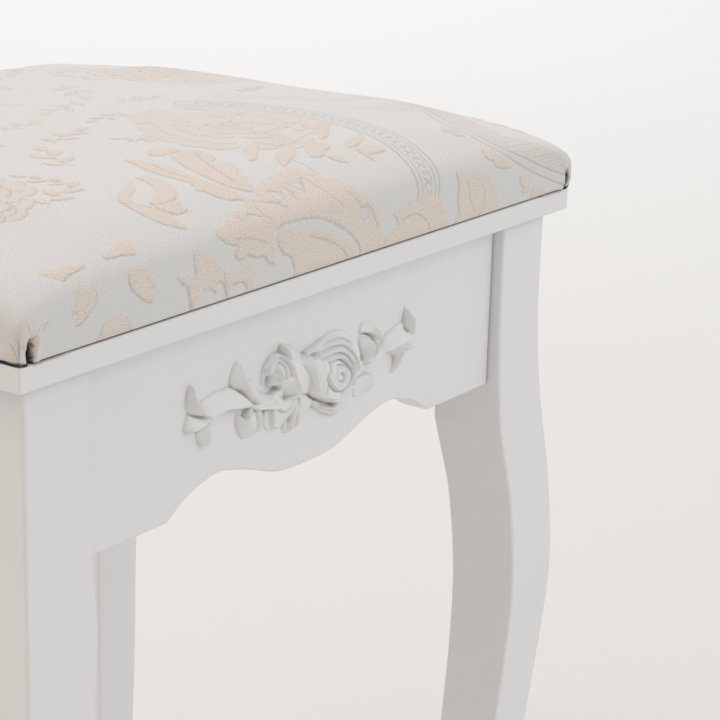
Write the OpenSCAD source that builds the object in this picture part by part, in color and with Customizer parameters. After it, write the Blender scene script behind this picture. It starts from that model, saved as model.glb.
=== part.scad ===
// Upholstered dressing-table stool: a crowned damask cushion on a square-edged seat board,
// four scalloped aprons, four double-curved legs bolted to corner braces, and a carved rose
// ornament on the front apron. Millimetres. The origin is on the floor, under the seat's middle:
// +X runs along the front, +Y from the front to the back, +Z up.

/* [Overall] */
// Width of the seat board
seat_w = 370; // [340:1:420]
// Depth of the seat board
seat_d = 297; // [270:1:340]
// Height from the floor to the cushion's crown
total_h = 450; // [430:1:470]

/* [Seat board] */
// Thickness of the seat board
board_t = 10; // [8:0.5:18]
// How far the board stands out past the legs at the sides
overhang_x = 9; // [5:0.5:15]
// How far the board stands out past the legs at the front and the back
overhang_y = 7; // [4:0.5:15]

/* [Legs] */
// Side of the square block at the leg's top
leg_s = 35; // [32:0.5:40]
// How far down the inner faces of the block stay straight
block_h = 101; // [90:1:110]

/* [Aprons] */
// Thickness of an apron
apron_t = 15; // [12:0.5:18]
// Height of an apron at its ends
apron_h = 78.5; // [70:0.5:90]
// How far an apron's face lies behind the leg's face
apron_setback = 5.5; // [2:0.5:8]
// Gap between an apron's end and the leg
apron_gap = 0.6; // [0.2:0.1:1]
// Distance from the apron's middle to the corner where its scallop ends
scallop_half = 91; // [80:1:100]

/* [Cushion] */
// Height of the cushion's crown above the seat board
crown_h = 38; // [34:1:46]
// Height of the cushion's upright edge
edge_h = 12; // [8:1:16]
// Thickness of the fabric cover
cover_t = 1; // [0.8:0.1:1.5]
// Thickness of the panel inside the cushion
panel_t = 6; // [5:0.5:9]
// Gap between the cover's hem and the seat board, which the staples fill
hem_gap = 0.8; // [0.6:0.1:1.2]

/* [Hidden] */

$fn = 48;
eps = 0.01;
LEFT = -1;
RIGHT = 1;
FRONT = -1;
REAR = 1;

// Heights above the floor
board_top = total_h - crown_h;
board_bottom = board_top - board_t;
glide_h = 4;
leg_h = board_bottom - glide_h;

// Outer faces of the leg blocks, measured from the seat's middle
leg_x = seat_w / 2 - overhang_x;
leg_y = seat_d / 2 - overhang_y;

// Leg outline: each knot is [share of the leg's height, distance], with the distance taken
// outwards from the block's outer face, or inwards from it for the inner edge
outer_knots = [
    [0, 0], [0.126, 0], [0.226, 2.2], [0.339, 6.8], [0.447, 8.8], [0.540, 6.8],
    [0.643, 3.5], [0.754, 0.3], [0.854, -1.8], [0.935, -0.5], [1, 3.5]
];
inner_start = block_h / leg_h;
inner_knots = [
    [inner_start, leg_s], [inner_start + 0.043, leg_s - 2.8], [0.352, leg_s - 6.1],
    [0.447, leg_s - 8.6], [0.540, leg_s - 8.5], [0.643, leg_s - 6.9], [0.754, leg_s - 4.8],
    [0.854, leg_s - 4.6], [0.935, leg_s - 7], [1, leg_s - 11]
];
leg_steps = 5;

// Scallop: each knot is [share of scallop_half, rise above the apron's ends]
scallop_knots = [
    [0, 0.2], [0.22, 1.5], [0.44, 7.9], [0.64, 12.1], [0.77, 10.2], [0.88, 6.7], [1, 0]
];
scallop_steps = 6;

// Corner brace, in the corner's own frame: u and v run inwards from the leg's outer faces
brace_h = 40;
brace_front = 2 * leg_s - 10;
brace_deep = 18 * sqrt(2);
apron_back = apron_setback + apron_t;
leg_flat_h = brace_h + 10;

// Hanger bolt, washer and wing nut, on the corner's diagonal
bolt_r = 3;
bolt_hole_r = 3.5;
bolt_drop = 20;
bolt_in_leg = 24;
washer_r = 9;
washer_t = 1.6;
nut_r = 5.5;
nut_t = 6;
bolt_stub = 10;

// Screws
screw_r = 1.75;
screw_head_r = 3.6;
screw_head_t = 2.2;
pocket_r = 4.2;
brace_screw_u = 57;
brace_screw_drop = 14;
brace_screw_bite = 10;
board_screw_u = 45;
board_screw_v = brace_front + brace_deep / 2 - board_screw_u;
board_screw_bite = 7;
board_pocket = 6;
cushion_screw_x = 110;
cushion_screw_y = 82;
cushion_screw_bite = 5;

// Cushion
hem_w = 28;
foam_gap = 0.1;
// Each knot is [distance in from the edge, share of the rise from the edge to the crown]
crown_knots = [[1.4, 0.12], [5, 0.28], [13, 0.46], [34, 0.68], [70, 0.86], [112, 0.96]];
crown_steps = 4;
hem_z = board_top + hem_gap;
panel_z = hem_z + cover_t;
panel_inset = 2;
foam_z = panel_z + panel_t;

// Staples along the hem
staple_w = 10;
staple_wire = 0.8;
staple_leg = 6;
staple_inset = 14;
staple_pitch = 44;

// Foot glides
glide_r = 9;
nail_r = 2.5;
nail_h = 10;
foot_u = (inner_knots[9][1] - outer_knots[10][1]) / 2;

// Rose ornament: each leaf is [base, tip, width], and each flower is [centre, radius, height]
stem_w = 3;
leaf_h = 4.5;
leaf_steps = 7;
stem_path = [[-74, -45], [-34, -40], [17, -43], [39, -50], [68, -36]];
leaves = [
    [[-66, -46], [-80, -22], 10], [[-64, -44], [-85, -43], 9], [[-66, -42], [-71, -54], 9],
    [[-74, -46], [-28, -39], 12], [[-36, -44], [-51, -21], 11], [[-42, -38], [-50, -56], 11],
    [[-33, -38], [-34, -60], 10], [[-4, -40], [-22, -61], 9], [[2, -42], [-9, -62], 8],
    [[-6, -36], [-15, -19], 10], [[44, -47], [42, -23], 16], [[38, -48], [82, -33], 9],
    [[66, -40], [70, -21], 10], [[62, -37], [57, -55], 9]
];
blooms = [[[17, -43], 18, 9.5], [[-20, -33], 12, 8], [[39, -52], 5.5, 6]];

// ---- curves ----

function catmull(a, b, c, d, t) =
    0.5 * (2 * b + (c - a) * t + (2 * a - 5 * b + 4 * c - d) * t * t
    + (3 * b - a - 3 * c + d) * t * t * t);

function smooth(p, steps) = concat(
    [for (i = [0 : len(p) - 2], k = [0 : steps - 1])
        catmull(p[max(i - 1, 0)], p[i], p[i + 1], p[min(i + 2, len(p) - 1)], k / steps)],
    [p[len(p) - 1]]
);

function reversed(p) = [for (i = [len(p) - 1 : -1 : 0]) p[i]];

// ---- placing ----

// Puts a part that is drawn in the corner's own frame at one of the four corners
module at_corner(side, end) {
    mirror([side == RIGHT ? 1 : 0, 0, 0])
        mirror([0, end == REAR ? 1 : 0, 0])
            translate([-leg_x, -leg_y, board_bottom])
                children();
}

module at_all_corners() {
    for (side = [LEFT, RIGHT], end = [FRONT, REAR])
        at_corner(side, end) children();
}

// Turns +Z of its children to the corner's diagonal, pointing into the stool
module on_diagonal(distance) {
    translate([brace_front / 2, brace_front / 2, -bolt_drop])
        rotate([0, 90, 45])
            translate([0, 0, distance])
                children();
}

// ---- legs ----

module leg_outline() {
    outer = [for (q = smooth(outer_knots, leg_steps)) [-q[1], -q[0] * leg_h]];
    inner = [for (q = smooth(inner_knots, leg_steps)) [q[1], -q[0] * leg_h]];
    polygon(concat(outer, reversed(inner), [[leg_s, 0]]));
}

module leg_blank() {
    reach = 2 * leg_s;
    intersection() {
        translate([0, leg_s + reach / 2, 0])
            rotate([90, 0, 0])
                linear_extrude(reach + leg_s) leg_outline();
        translate([-reach / 2, 0, 0])
            rotate([90, 0, 90])
                linear_extrude(reach + leg_s) leg_outline();
    }
}

// The flat that a brace pulls against is cut on the block's inner edge
module leg_flat() {
    translate([brace_front / 2, brace_front / 2, -leg_flat_h])
        rotate([0, 0, 45])
            translate([0, -leg_s, 0])
                cube([leg_s, 2 * leg_s, leg_flat_h + 1]);
}

module leg(side, end) {
    color("whitesmoke")
        at_corner(side, end)
            difference() {
                leg_blank();
                leg_flat();
                on_diagonal(-bolt_in_leg) cylinder(r = bolt_r, h = bolt_in_leg + 1);
                translate([foot_u, foot_u, -leg_h - 1]) cylinder(r = nail_r, h = nail_h + 1);
            }
}

module glide(side, end) {
    color("gainsboro")
        at_corner(side, end)
            translate([foot_u, foot_u, -board_bottom])
                rotate_extrude()
                    polygon([
                        [0, 0], [glide_r - 1.5, 0], [glide_r, 1.5], [glide_r, glide_h],
                        [nail_r, glide_h], [nail_r, glide_h + nail_h], [0, glide_h + nail_h]
                    ]);
}

// ---- seat board and aprons ----

module board_screw_places() {
    translate([board_screw_u, board_screw_v, 0]) children();
    translate([board_screw_v, board_screw_u, 0]) children();
}

module seat_board() {
    color("whitesmoke")
        difference() {
            translate([-seat_w / 2, -seat_d / 2, board_bottom]) cube([seat_w, seat_d, board_t]);
            at_all_corners() board_screw_places()
                translate([0, 0, -1]) cylinder(r = screw_r, h = board_screw_bite + 1);
            cushion_screw_places()
                translate([0, 0, board_bottom - 1]) cylinder(r = screw_r, h = board_t + 2);
        }
}

function scallop(shrink) = [for (q = smooth(scallop_knots, scallop_steps))
    [q[0] * scallop_half * shrink, q[1] - apron_h]];

module apron_outline(half, shrink) {
    right = scallop(shrink);
    left = [for (q = reversed(right)) [-q[0], q[1]]];
    polygon(concat(
        [[-half, 0], [-half, -apron_h]], left, [for (i = [1 : len(right) - 1]) right[i]],
        [[half, -apron_h], [half, 0]]
    ));
}

// An apron along X with its face on the plane Y = 0 and its body behind it
module apron_blank(half, shrink) {
    translate([0, apron_t, 0])
        rotate([90, 0, 0])
            linear_extrude(apron_t) apron_outline(half, shrink);
}

module long_apron(end) {
    half = leg_x - leg_s - apron_gap;
    color("whitesmoke")
        difference() {
            mirror([0, end == REAR ? 1 : 0, 0])
                translate([0, apron_setback - leg_y, board_bottom]) apron_blank(half, 1);
            at_all_corners() brace_screws_along_v();
        }
}

module short_apron(side) {
    half = leg_y - leg_s - apron_gap;
    shrink = half / (leg_x - leg_s);
    color("whitesmoke")
        difference() {
            mirror([side == RIGHT ? 1 : 0, 0, 0])
                translate([apron_setback - leg_x, 0, board_bottom])
                    rotate([0, 0, -90]) apron_blank(half, shrink);
            at_all_corners() brace_screws_along_u();
        }
}

// ---- corner braces and their fixings ----

module brace_outline() {
    near = brace_front - apron_back;
    far = near + brace_deep;
    polygon([[near, apron_back], [far, apron_back], [apron_back, far], [apron_back, near]]);
}

// One screw that fixes a brace's end to the apron, lying along -v, with its head in a pocket
module brace_screw_v(head_r, head_t) {
    seat_v = apron_back + 6;
    translate([brace_screw_u, seat_v, -brace_screw_drop])
        rotate([90, 0, 0]) {
            cylinder(r = screw_r, h = 6 + brace_screw_bite);
            translate([0, 0, -head_t]) cylinder(r = head_r, h = head_t);
        }
}

module brace_screws_along_v(head_r = screw_head_r, head_t = screw_head_t) {
    brace_screw_v(head_r, head_t);
    translate([0, 0, -brace_screw_drop]) brace_screw_v(head_r, head_t);
}

module brace_screws_along_u(head_r = screw_head_r, head_t = screw_head_t) {
    mirror([1, -1, 0]) brace_screws_along_v(head_r, head_t);
}

module board_screw(head_r, head_t) {
    translate([0, 0, board_pocket - brace_h]) {
        cylinder(r = screw_r, h = brace_h - board_pocket + board_screw_bite);
        translate([0, 0, -head_t]) cylinder(r = head_r, h = head_t);
    }
}

module brace(side, end) {
    color("burlywood")
        at_corner(side, end)
            difference() {
                translate([0, 0, -brace_h]) linear_extrude(brace_h) brace_outline();
                on_diagonal(-1) cylinder(r = bolt_hole_r, h = brace_deep);
                brace_screws_along_v(pocket_r, 20);
                brace_screws_along_u(pocket_r, 20);
                board_screw_places() board_screw(pocket_r, board_pocket + 1);
            }
}

module brace_screws() {
    color("goldenrod")
        at_all_corners() {
            brace_screws_along_v();
            brace_screws_along_u();
        }
}

module board_screws() {
    color("goldenrod")
        at_all_corners()
            board_screw_places() board_screw(screw_head_r, screw_head_t);
}

module leg_bolts() {
    length = bolt_in_leg + brace_deep / sqrt(2) + washer_t + bolt_stub;
    color("silver")
        at_all_corners() on_diagonal(-bolt_in_leg) cylinder(r = bolt_r, h = length);
}

module bolt_washers() {
    color("lightgray")
        at_all_corners() on_diagonal(brace_deep / sqrt(2))
            difference() {
                cylinder(r = washer_r, h = washer_t);
                translate([0, 0, -1]) cylinder(r = bolt_hole_r, h = washer_t + 2);
            }
}

module wing_nut() {
    difference() {
        union() {
            cylinder(r1 = nut_r + 0.5, r2 = nut_r - 0.7, h = nut_t);
            for (a = [0, 180])
                rotate([0, 0, a])
                    translate([0, 1, 0])
                        rotate([90, 0, 0])
                            linear_extrude(2) polygon([[4, 1], [9, 3], [13, 9], [11, 12], [7, 9], [4, 5]]);
        }
        translate([0, 0, -1]) cylinder(r = bolt_r, h = nut_t + 14);
    }
}

module wing_nuts() {
    color("silver")
        at_all_corners() on_diagonal(brace_deep / sqrt(2) + washer_t) wing_nut();
}

// ---- cushion ----

// The cover's top from the edge inwards: each point is [distance from the edge, height over the hem]
function crown_points(half, inset) = let (
    rise = crown_h - hem_gap - edge_h,
    knots = concat([[0, 0]], crown_knots, [[half, 1]])
) [for (q = smooth(knots, crown_steps)) [min(q[0] + inset, half), edge_h - inset + q[1] * rise]];

module cushion_outline(half, inset) {
    left = [for (q = crown_points(half, inset)) [q[0] - half, q[1]]];
    right = [for (i = [len(left) - 2 : -1 : 0]) [-left[i][0], left[i][1]]];
    polygon(concat([[inset - half, 0]], left, right, [[half - inset, 0]]));
}

module cushion_form(inset) {
    intersection() {
        translate([0, seat_d / 2, hem_z])
            rotate([90, 0, 0])
                linear_extrude(seat_d) cushion_outline(seat_w / 2, inset);
        translate([-seat_w / 2, 0, hem_z])
            rotate([90, 0, 90])
                linear_extrude(seat_w) cushion_outline(seat_d / 2, inset);
    }
}

module above(z) {
    translate([-seat_w, -seat_d, z]) cube([2 * seat_w, 2 * seat_d, total_h]);
}

module cushion_cover() {
    color("lavenderblush")
        difference() {
            cushion_form(0);
            intersection() {
                cushion_form(cover_t);
                above(panel_z);
            }
            translate([hem_w - seat_w / 2, hem_w - seat_d / 2, hem_z - 1])
                cube([seat_w - 2 * hem_w, seat_d - 2 * hem_w, panel_t]);
            staples();
        }
}

module cushion_foam() {
    color("khaki")
        intersection() {
            cushion_form(cover_t + foam_gap);
            above(foam_z);
        }
}

module cushion_panel() {
    w = seat_w - 2 * (cover_t + panel_inset);
    d = seat_d - 2 * (cover_t + panel_inset);
    color("peru")
        difference() {
            translate([-w / 2, -d / 2, panel_z]) cube([w, d, panel_t]);
            staples();
            cushion_screw_places() translate([0, 0, board_bottom]) cylinder(
                r = screw_r, h = panel_z + cushion_screw_bite - board_bottom);
        }
}

module staple() {
    translate([-staple_w / 2, -staple_wire / 2, -hem_gap]) cube([staple_w, staple_wire, hem_gap]);
    for (end = [-staple_w / 2, staple_w / 2 - staple_wire])
        translate([end, -staple_wire / 2, -eps]) cube([staple_wire, staple_wire, staple_leg]);
}

// Staples along the four sides of the hem, evenly spaced from each side's middle
module staples() {
    along_x = floor((seat_w / 2 - hem_w) / staple_pitch);
    along_y = floor((seat_d / 2 - hem_w) / staple_pitch);
    for (i = [-along_x : along_x], end = [FRONT, REAR])
        translate([i * staple_pitch, end * (seat_d / 2 - staple_inset), hem_z]) staple();
    for (i = [-along_y : along_y], side = [LEFT, RIGHT])
        translate([side * (seat_w / 2 - staple_inset), i * staple_pitch, hem_z])
            rotate([0, 0, 90]) staple();
}

module cover_staples() {
    color("silver") staples();
}

module cushion_screw_places() {
    for (side = [LEFT, RIGHT], end = [FRONT, REAR])
        translate([side * cushion_screw_x, end * cushion_screw_y, 0]) children();
}

module cushion_screws() {
    color("goldenrod")
        cushion_screw_places()
            translate([0, 0, board_bottom]) {
                cylinder(r = screw_r, h = panel_z + cushion_screw_bite - board_bottom);
                translate([0, 0, -screw_head_t]) cylinder(r = screw_head_r, h = screw_head_t);
            }
}

// ---- rose ornament, drawn flat: x along the apron, y up from the board's underside ----

// The outline of a pointed leaf from a to b, widest a little nearer its base
function leaf_outline(a, b, width) = let (
    along = b - a,
    across = [-along[1], along[0]] / norm(along) * width / 2,
    swell = [for (k = [0 : leaf_steps]) sin(180 * pow(k / leaf_steps, 0.8))]
) concat(
    [for (k = [0 : leaf_steps]) a + along * k / leaf_steps + across * swell[k]],
    [for (k = [leaf_steps - 1 : -1 : 1]) a + along * k / leaf_steps - across * swell[k]]
);

// A straight stem from a to b, which ties the ornament together
module stem(a, b) {
    translate(a)
        rotate(atan2(b[1] - a[1], b[0] - a[0]))
            translate([-stem_w / 2, -stem_w / 2])
                square([norm(b - a) + stem_w, stem_w]);
}

// A round flower of stacked petal rings
module bloom(place, r, h) {
    translate([place[0], place[1], 0])
        rotate_extrude()
            polygon([
                [0, 0], [r, 0], [r, h * 0.55], [r * 0.8, h * 0.7], [r * 0.6, h * 0.88],
                [r * 0.35, h], [0, h]
            ]);
}

module rose_applique() {
    color("whitesmoke")
        translate([0, apron_setback - leg_y, board_bottom])
            rotate([90, 0, 0]) {
                linear_extrude(leaf_h) {
                    for (k = [0 : len(stem_path) - 2])
                        stem(stem_path[k], stem_path[k + 1]);
                    for (l = leaves)
                        polygon(leaf_outline(l[0], l[1], l[2]));
                }
                for (f = blooms)
                    bloom(f[0], f[1], f[2]);
            }
}

seat_board();
long_apron(FRONT);  // front_apron
long_apron(REAR);  // rear_apron
short_apron(LEFT);  // left_apron
short_apron(RIGHT);  // right_apron
leg(LEFT, FRONT);  // leg_front_left
leg(RIGHT, FRONT);  // leg_front_right
leg(LEFT, REAR);  // leg_rear_left
leg(RIGHT, REAR);  // leg_rear_right
cushion_cover();
cushion_foam();
cushion_panel();
cover_staples();
cushion_screws();
brace(LEFT, FRONT);  // brace_front_left
brace(RIGHT, FRONT);  // brace_front_right
brace(LEFT, REAR);  // brace_rear_left
brace(RIGHT, REAR);  // brace_rear_right
leg_bolts();
bolt_washers();
wing_nuts();
brace_screws();
board_screws();
glide(LEFT, FRONT);  // glide_front_left
glide(RIGHT, FRONT);  // glide_front_right
glide(LEFT, REAR);  // glide_rear_left
glide(RIGHT, REAR);  // glide_rear_right
rose_applique();
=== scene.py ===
"""An upholstered dressing-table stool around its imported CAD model: painted wood, a carved rose
ornament and a damask cushion. Lengths are in metres, and +Y runs from the front to the back."""
import math

import bmesh
import bpy
import numpy as np
from mathutils import Matrix, Vector


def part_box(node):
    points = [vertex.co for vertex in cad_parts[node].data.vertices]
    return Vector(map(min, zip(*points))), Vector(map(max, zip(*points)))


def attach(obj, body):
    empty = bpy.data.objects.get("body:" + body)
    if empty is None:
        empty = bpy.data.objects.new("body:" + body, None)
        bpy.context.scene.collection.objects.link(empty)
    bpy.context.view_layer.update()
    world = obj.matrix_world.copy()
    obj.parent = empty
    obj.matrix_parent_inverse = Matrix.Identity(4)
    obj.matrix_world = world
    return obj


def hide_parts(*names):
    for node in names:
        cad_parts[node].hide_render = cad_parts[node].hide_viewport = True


MM = 0.001
# Where the camera stands, in mm. The carving is drawn as seen from here.
EYE = (-734.0, -675.5, 653.0)

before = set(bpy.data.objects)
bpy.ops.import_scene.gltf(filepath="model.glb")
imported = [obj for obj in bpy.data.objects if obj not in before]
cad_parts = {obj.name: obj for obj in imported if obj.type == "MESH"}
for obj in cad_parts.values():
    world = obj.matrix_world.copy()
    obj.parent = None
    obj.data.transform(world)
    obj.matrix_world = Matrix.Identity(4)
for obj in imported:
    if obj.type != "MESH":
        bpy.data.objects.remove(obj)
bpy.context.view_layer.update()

BOARD_LOW, BOARD_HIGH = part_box("seat_board")
APRON_LOW, APRON_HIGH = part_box("front_apron")
SIDES = {"left": -1, "right": 1}
ENDS = {"front": -1, "rear": 1}


# ---------------------------------------------------------------- camera, floor and light

SKY = (1.0, 0.95, 0.82)
SKY_STRENGTH = 0.645
# [name, place, aim, width and height, watts, colour]
LIGHTS = [
    ("key", (1.0, -2.4, 1.7), (0, 0, 0.3), (2.2, 1.8), 20, (0.77, 0.865, 1.0)),
    ("top", (-1.1, 1.4, 2.2), (0, 0, 0.4), (1.8, 1.8), 20, (1.0, 0.87, 0.84)),
    ("far", (3.2, 2.6, 2.4), (3.2, 2.6, 0), (4.5, 4.5), 81, (0.80, 0.845, 1.0))]
FLOOR_HALF = 20.0
FLOOR_COLOUR = (0.78, 0.775, 0.77)


def add_camera():
    """A long lens close to the front left corner, a little above the cushion."""
    yaw = math.radians(55.0)
    pitch = math.radians(-17.3)
    roll = math.radians(1.68)
    data = bpy.data.cameras.new("camera")
    data.sensor_width = 36.0
    data.lens = 115.0
    data.clip_start = 0.01
    camera = bpy.data.objects.new("camera", data)
    bpy.context.scene.collection.objects.link(camera)
    camera.location = [c * MM for c in EYE]
    turn = Matrix.Rotation(-yaw, 3, "Z") @ Matrix.Rotation(math.pi / 2 + pitch, 3, "X")
    camera.rotation_euler = (turn @ Matrix.Rotation(roll, 3, "Z")).to_euler()
    bpy.context.scene.camera = camera


def add_area_light(name, place, target, size, power, colour):
    data = bpy.data.lights.new(name, "AREA")
    data.shape = "RECTANGLE"
    data.size = size[0]
    data.size_y = size[1]
    data.energy = power
    data.color = colour
    light = bpy.data.objects.new(name, data)
    bpy.context.scene.collection.objects.link(light)
    light.location = place
    light.rotation_euler = (Vector(target) - Vector(place)).to_track_quat("-Z", "Y").to_euler()


def add_studio():
    scene = bpy.context.scene
    scene.view_settings.view_transform = "Standard"
    world = bpy.data.worlds.new("studio")
    world.use_nodes = True
    sky = world.node_tree.nodes["Background"]
    sky.inputs["Color"].default_value = (*SKY, 1)
    sky.inputs["Strength"].default_value = SKY_STRENGTH
    scene.world = world
    for light in LIGHTS:
        add_area_light(*light)
    mesh = bpy.data.meshes.new("floor")
    corners = [(x * FLOOR_HALF, y * FLOOR_HALF, 0) for x, y in ((-1, -1), (1, -1), (1, 1), (-1, 1))]
    mesh.from_pydata(corners, [], [(0, 1, 2, 3)])
    floor = bpy.data.objects.new("floor", mesh)
    scene.collection.objects.link(floor)
    mat = bpy.data.materials.new("floor")
    mat.use_nodes = True
    shader = mat.node_tree.nodes["Principled BSDF"]
    shader.inputs["Base Color"].default_value = (*FLOOR_COLOUR, 1)
    shader.inputs["Roughness"].default_value = 0.9
    mesh.materials.append(mat)


# ---------------------------------------------------------------- curves and meshes

def spline(points, steps, closed=False):
    """A smooth curve through a few given points, as an array of points."""
    p = np.asarray(points, float)
    n = len(p)
    t = np.linspace(0, 1, steps, endpoint=False)[:, None]
    parts = []
    for i in range(n if closed else n - 1):
        if closed:
            a, b, c, d = (p[(i + k) % n] for k in (-1, 0, 1, 2))
        else:
            a, b, c, d = (p[min(max(i + k, 0), n - 1)] for k in (-1, 0, 1, 2))
        parts.append(0.5 * (2 * b + (c - a) * t + (2 * a - 5 * b + 4 * c - d) * t ** 2
                            + (3 * b - a - 3 * c + d) * t ** 3))
    if not closed:
        parts.append(p[-1:])
    return np.concatenate(parts)


def smooth_step(low, high, x):
    t = np.clip((x - low) / (high - low), 0, 1)
    return t * t * (3 - 2 * t)


def bell(x, width):
    """1 at x = 0, falling smoothly to both sides."""
    return np.exp(-(x / width) ** 2)


def near_path(x, y, path, reach):
    """The numbers of the points within reach of a path's bounding box."""
    low, high = np.min(path, axis=0) - reach, np.max(path, axis=0) + reach
    return np.flatnonzero((x > low[0]) & (x < high[0]) & (y > low[1]) & (y < high[1]))


def turned(points, cx, cy, ux, uy):
    """Points given along and across the direction (ux, uy), seen from (cx, cy)."""
    return [(cx + ux * u - uy * v, cy + uy * u + ux * v) for u, v in points]


def new_piece(name, points, faces, slot, material, *stands_for):
    """A mesh piece that rides on the root body and stands for CAD nodes."""
    mesh = bpy.data.meshes.new(name)
    mesh.from_pydata([tuple(p) for p in points], [], [tuple(f) for f in faces])
    mesh.validate()
    piece = bpy.data.objects.new(name, mesh)
    bpy.context.scene.collection.objects.link(piece)
    mesh.materials.append(material)
    mesh.polygons.foreach_set("use_smooth", [True] * len(mesh.polygons))
    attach(piece, "root")
    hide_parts(*stands_for)
    return piece


def read_rows(collection, name, width):
    """One value of each point or attribute entry, as rows of width numbers."""
    values = np.empty(len(collection) * width, np.float32)
    collection.foreach_get(name, values)
    return values.reshape(-1, width)


def move_points(mesh, points):
    mesh.vertices.foreach_set("co", points.astype(np.float32).ravel())
    mesh.update()


def store(mesh, name, kind, values):
    """Keeps a number (FLOAT) or a pair (FLOAT2) for each point of the mesh."""
    stored = mesh.attributes.new(name, kind, "POINT")
    field = "vector" if kind == "FLOAT2" else "value"
    stored.data.foreach_set(field, np.asarray(values, np.float32).ravel())


def weight_normals(piece):
    """Flat faces stay flat beside their rounded edges."""
    piece.modifiers.new("normals", "WEIGHTED_NORMAL").keep_sharp = False


def round_edges(piece):
    bevel = piece.modifiers.new("rounding", "BEVEL")
    bevel.width = BOARD_EDGE
    bevel.segments = 3
    bevel.limit_method = "ANGLE"
    bevel.angle_limit = math.radians(40)
    bevel.harden_normals = False
    weight_normals(piece)


# ---------------------------------------------------------------- legs, aprons and board

LEG_BLOCK = 35 * MM
OVERHANG_X = 9 * MM
OVERHANG_Y = 7 * MM
APRON_SETBACK = 5.5 * MM
LEG_FOOT = 4 * MM
LEG_X = BOARD_HIGH.x - OVERHANG_X
LEG_Y = BOARD_HIGH.y - OVERHANG_Y
LEG_TOP = BOARD_LOW.z
LEG_HEIGHT = LEG_TOP - LEG_FOOT
BLOCK_HEIGHT = 101 * MM
FLAT_HEIGHT = 50 * MM
FLAT_CUT = 10 * MM
LEG_EDGE = 1.6 * MM
FOOT_EDGE = 0.8 * MM
BOARD_EDGE = 0.9 * MM
LEG_RINGS = 90

# [share of the leg's height, mm outwards from the block's outer face]
OUTER_KNOTS = [
    (0, 0), (0.126, 0), (0.226, 2.2), (0.339, 6.8), (0.447, 8.8), (0.540, 6.8),
    (0.643, 3.5), (0.754, 0.3), (0.854, -1.8), (0.935, -0.5), (1, 3.5)]
# [share of the leg's height, mm inwards from the block's outer face]
INNER_KNOTS = [
    (0.254, 35), (0.297, 32.2), (0.352, 28.9), (0.447, 26.4), (0.540, 26.5), (0.643, 28.1),
    (0.754, 30.2), (0.854, 30.4), (0.935, 28), (1, 24)]


def corner_arc(x, y, start):
    """A quarter circle of section points round (x, y), from the angle start."""
    angles = start + np.linspace(0, math.pi / 2, 5)
    return [(x + LEG_EDGE * math.cos(a), y + LEG_EDGE * math.sin(a)) for a in angles]


def leg_section(low, high, flat):
    """The leg's rounded square section. Where it is bolted, its inner corner is cut off flat."""
    lo, hi = low + LEG_EDGE, high - LEG_EDGE
    ring = corner_arc(lo, lo, math.pi) + corner_arc(hi, lo, 1.5 * math.pi)
    if flat:
        ring += [(high - FLAT_CUT * k / 4, high - FLAT_CUT * (1 - k / 4)) for k in range(5)]
    else:
        ring += corner_arc(hi, hi, 0)
    return ring + corner_arc(lo, hi, 0.5 * math.pi)


def add_leg(side_name, end_name, material):
    """A double-sawn leg with rounded edges: both pairs of faces follow the same S curve."""
    outer = spline(OUTER_KNOTS, 12).T
    inner = spline(INNER_KNOTS, 12).T
    block_share = BLOCK_HEIGHT / LEG_HEIGHT
    flat_share = FLAT_HEIGHT / LEG_HEIGHT
    shares = list(np.linspace(0, 1, LEG_RINGS).round(4))
    shares += [flat_share, flat_share + 0.0005, block_share - 0.001, block_share + 0.001]
    shares = sorted(set(shares))
    side, end = SIDES[side_name], ENDS[end_name]
    points = []
    for share in shares:
        outwards, inwards = np.interp(share, *outer) * MM, np.interp(share, *inner) * MM
        over_floor = (1 - share) * LEG_HEIGHT
        shrink = max(0.0, FOOT_EDGE - over_floor)
        ring = leg_section(shrink - outwards, inwards - shrink, share <= flat_share)
        z = LEG_TOP - share * LEG_HEIGHT
        points += [(side * (LEG_X - u), end * (LEG_Y - v), z) for u, v in ring]
    count = len(ring)
    faces = []
    for start in range(0, len(points) - count, count):
        for k in range(count):
            a, b = start + k, start + (k + 1) % count
            faces.append((a, a + count, b + count, b))
    faces.append(tuple(range(count)))
    faces.append(tuple(range(len(points) - 1, len(points) - count - 1, -1)))
    if side * end > 0:
        faces = [tuple(reversed(f)) for f in faces]
    name = f"leg_{end_name}_{side_name}"
    weight_normals(new_piece(name + "_wood", points, faces, "white_paint", material, name))


# [share of the scallop's half length, mm above the apron's ends]
SCALLOP_KNOTS = [
    (0, 0.2), (0.22, 1.5), (0.44, 7.9), (0.64, 12.1), (0.77, 10.2), (0.88, 6.7), (1, 0)]
SCALLOP_HALF = 91 * MM


def add_apron(name, half, thickness, place, turn, shrink, material):
    """A board with a scalloped lower edge. Its face looks along -Y before it is turned."""
    low = APRON_LOW.z
    right = spline(SCALLOP_KNOTS, 10) * np.array([SCALLOP_HALF * shrink, MM]) + np.array([0, low])
    left = right[:0:-1] * np.array([-1, 1])
    outline = np.concatenate([
        [(-half, LEG_TOP), (-half, low)], left, right, [(half, low), (half, LEG_TOP)]])
    count = len(outline)
    points = [(x, depth, z) for depth in (0, thickness) for x, z in outline]
    faces = [tuple(range(count)), tuple(range(2 * count - 1, count - 1, -1))]
    faces += [(k, k + count, (k + 1) % count + count, (k + 1) % count) for k in range(count)]
    spun = Matrix.Translation(place) @ Matrix.Rotation(turn, 4, "Z")
    points = [spun @ Vector(p) for p in points]
    round_edges(new_piece(name + "_wood", points, faces, "white_paint", material, name))


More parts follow.
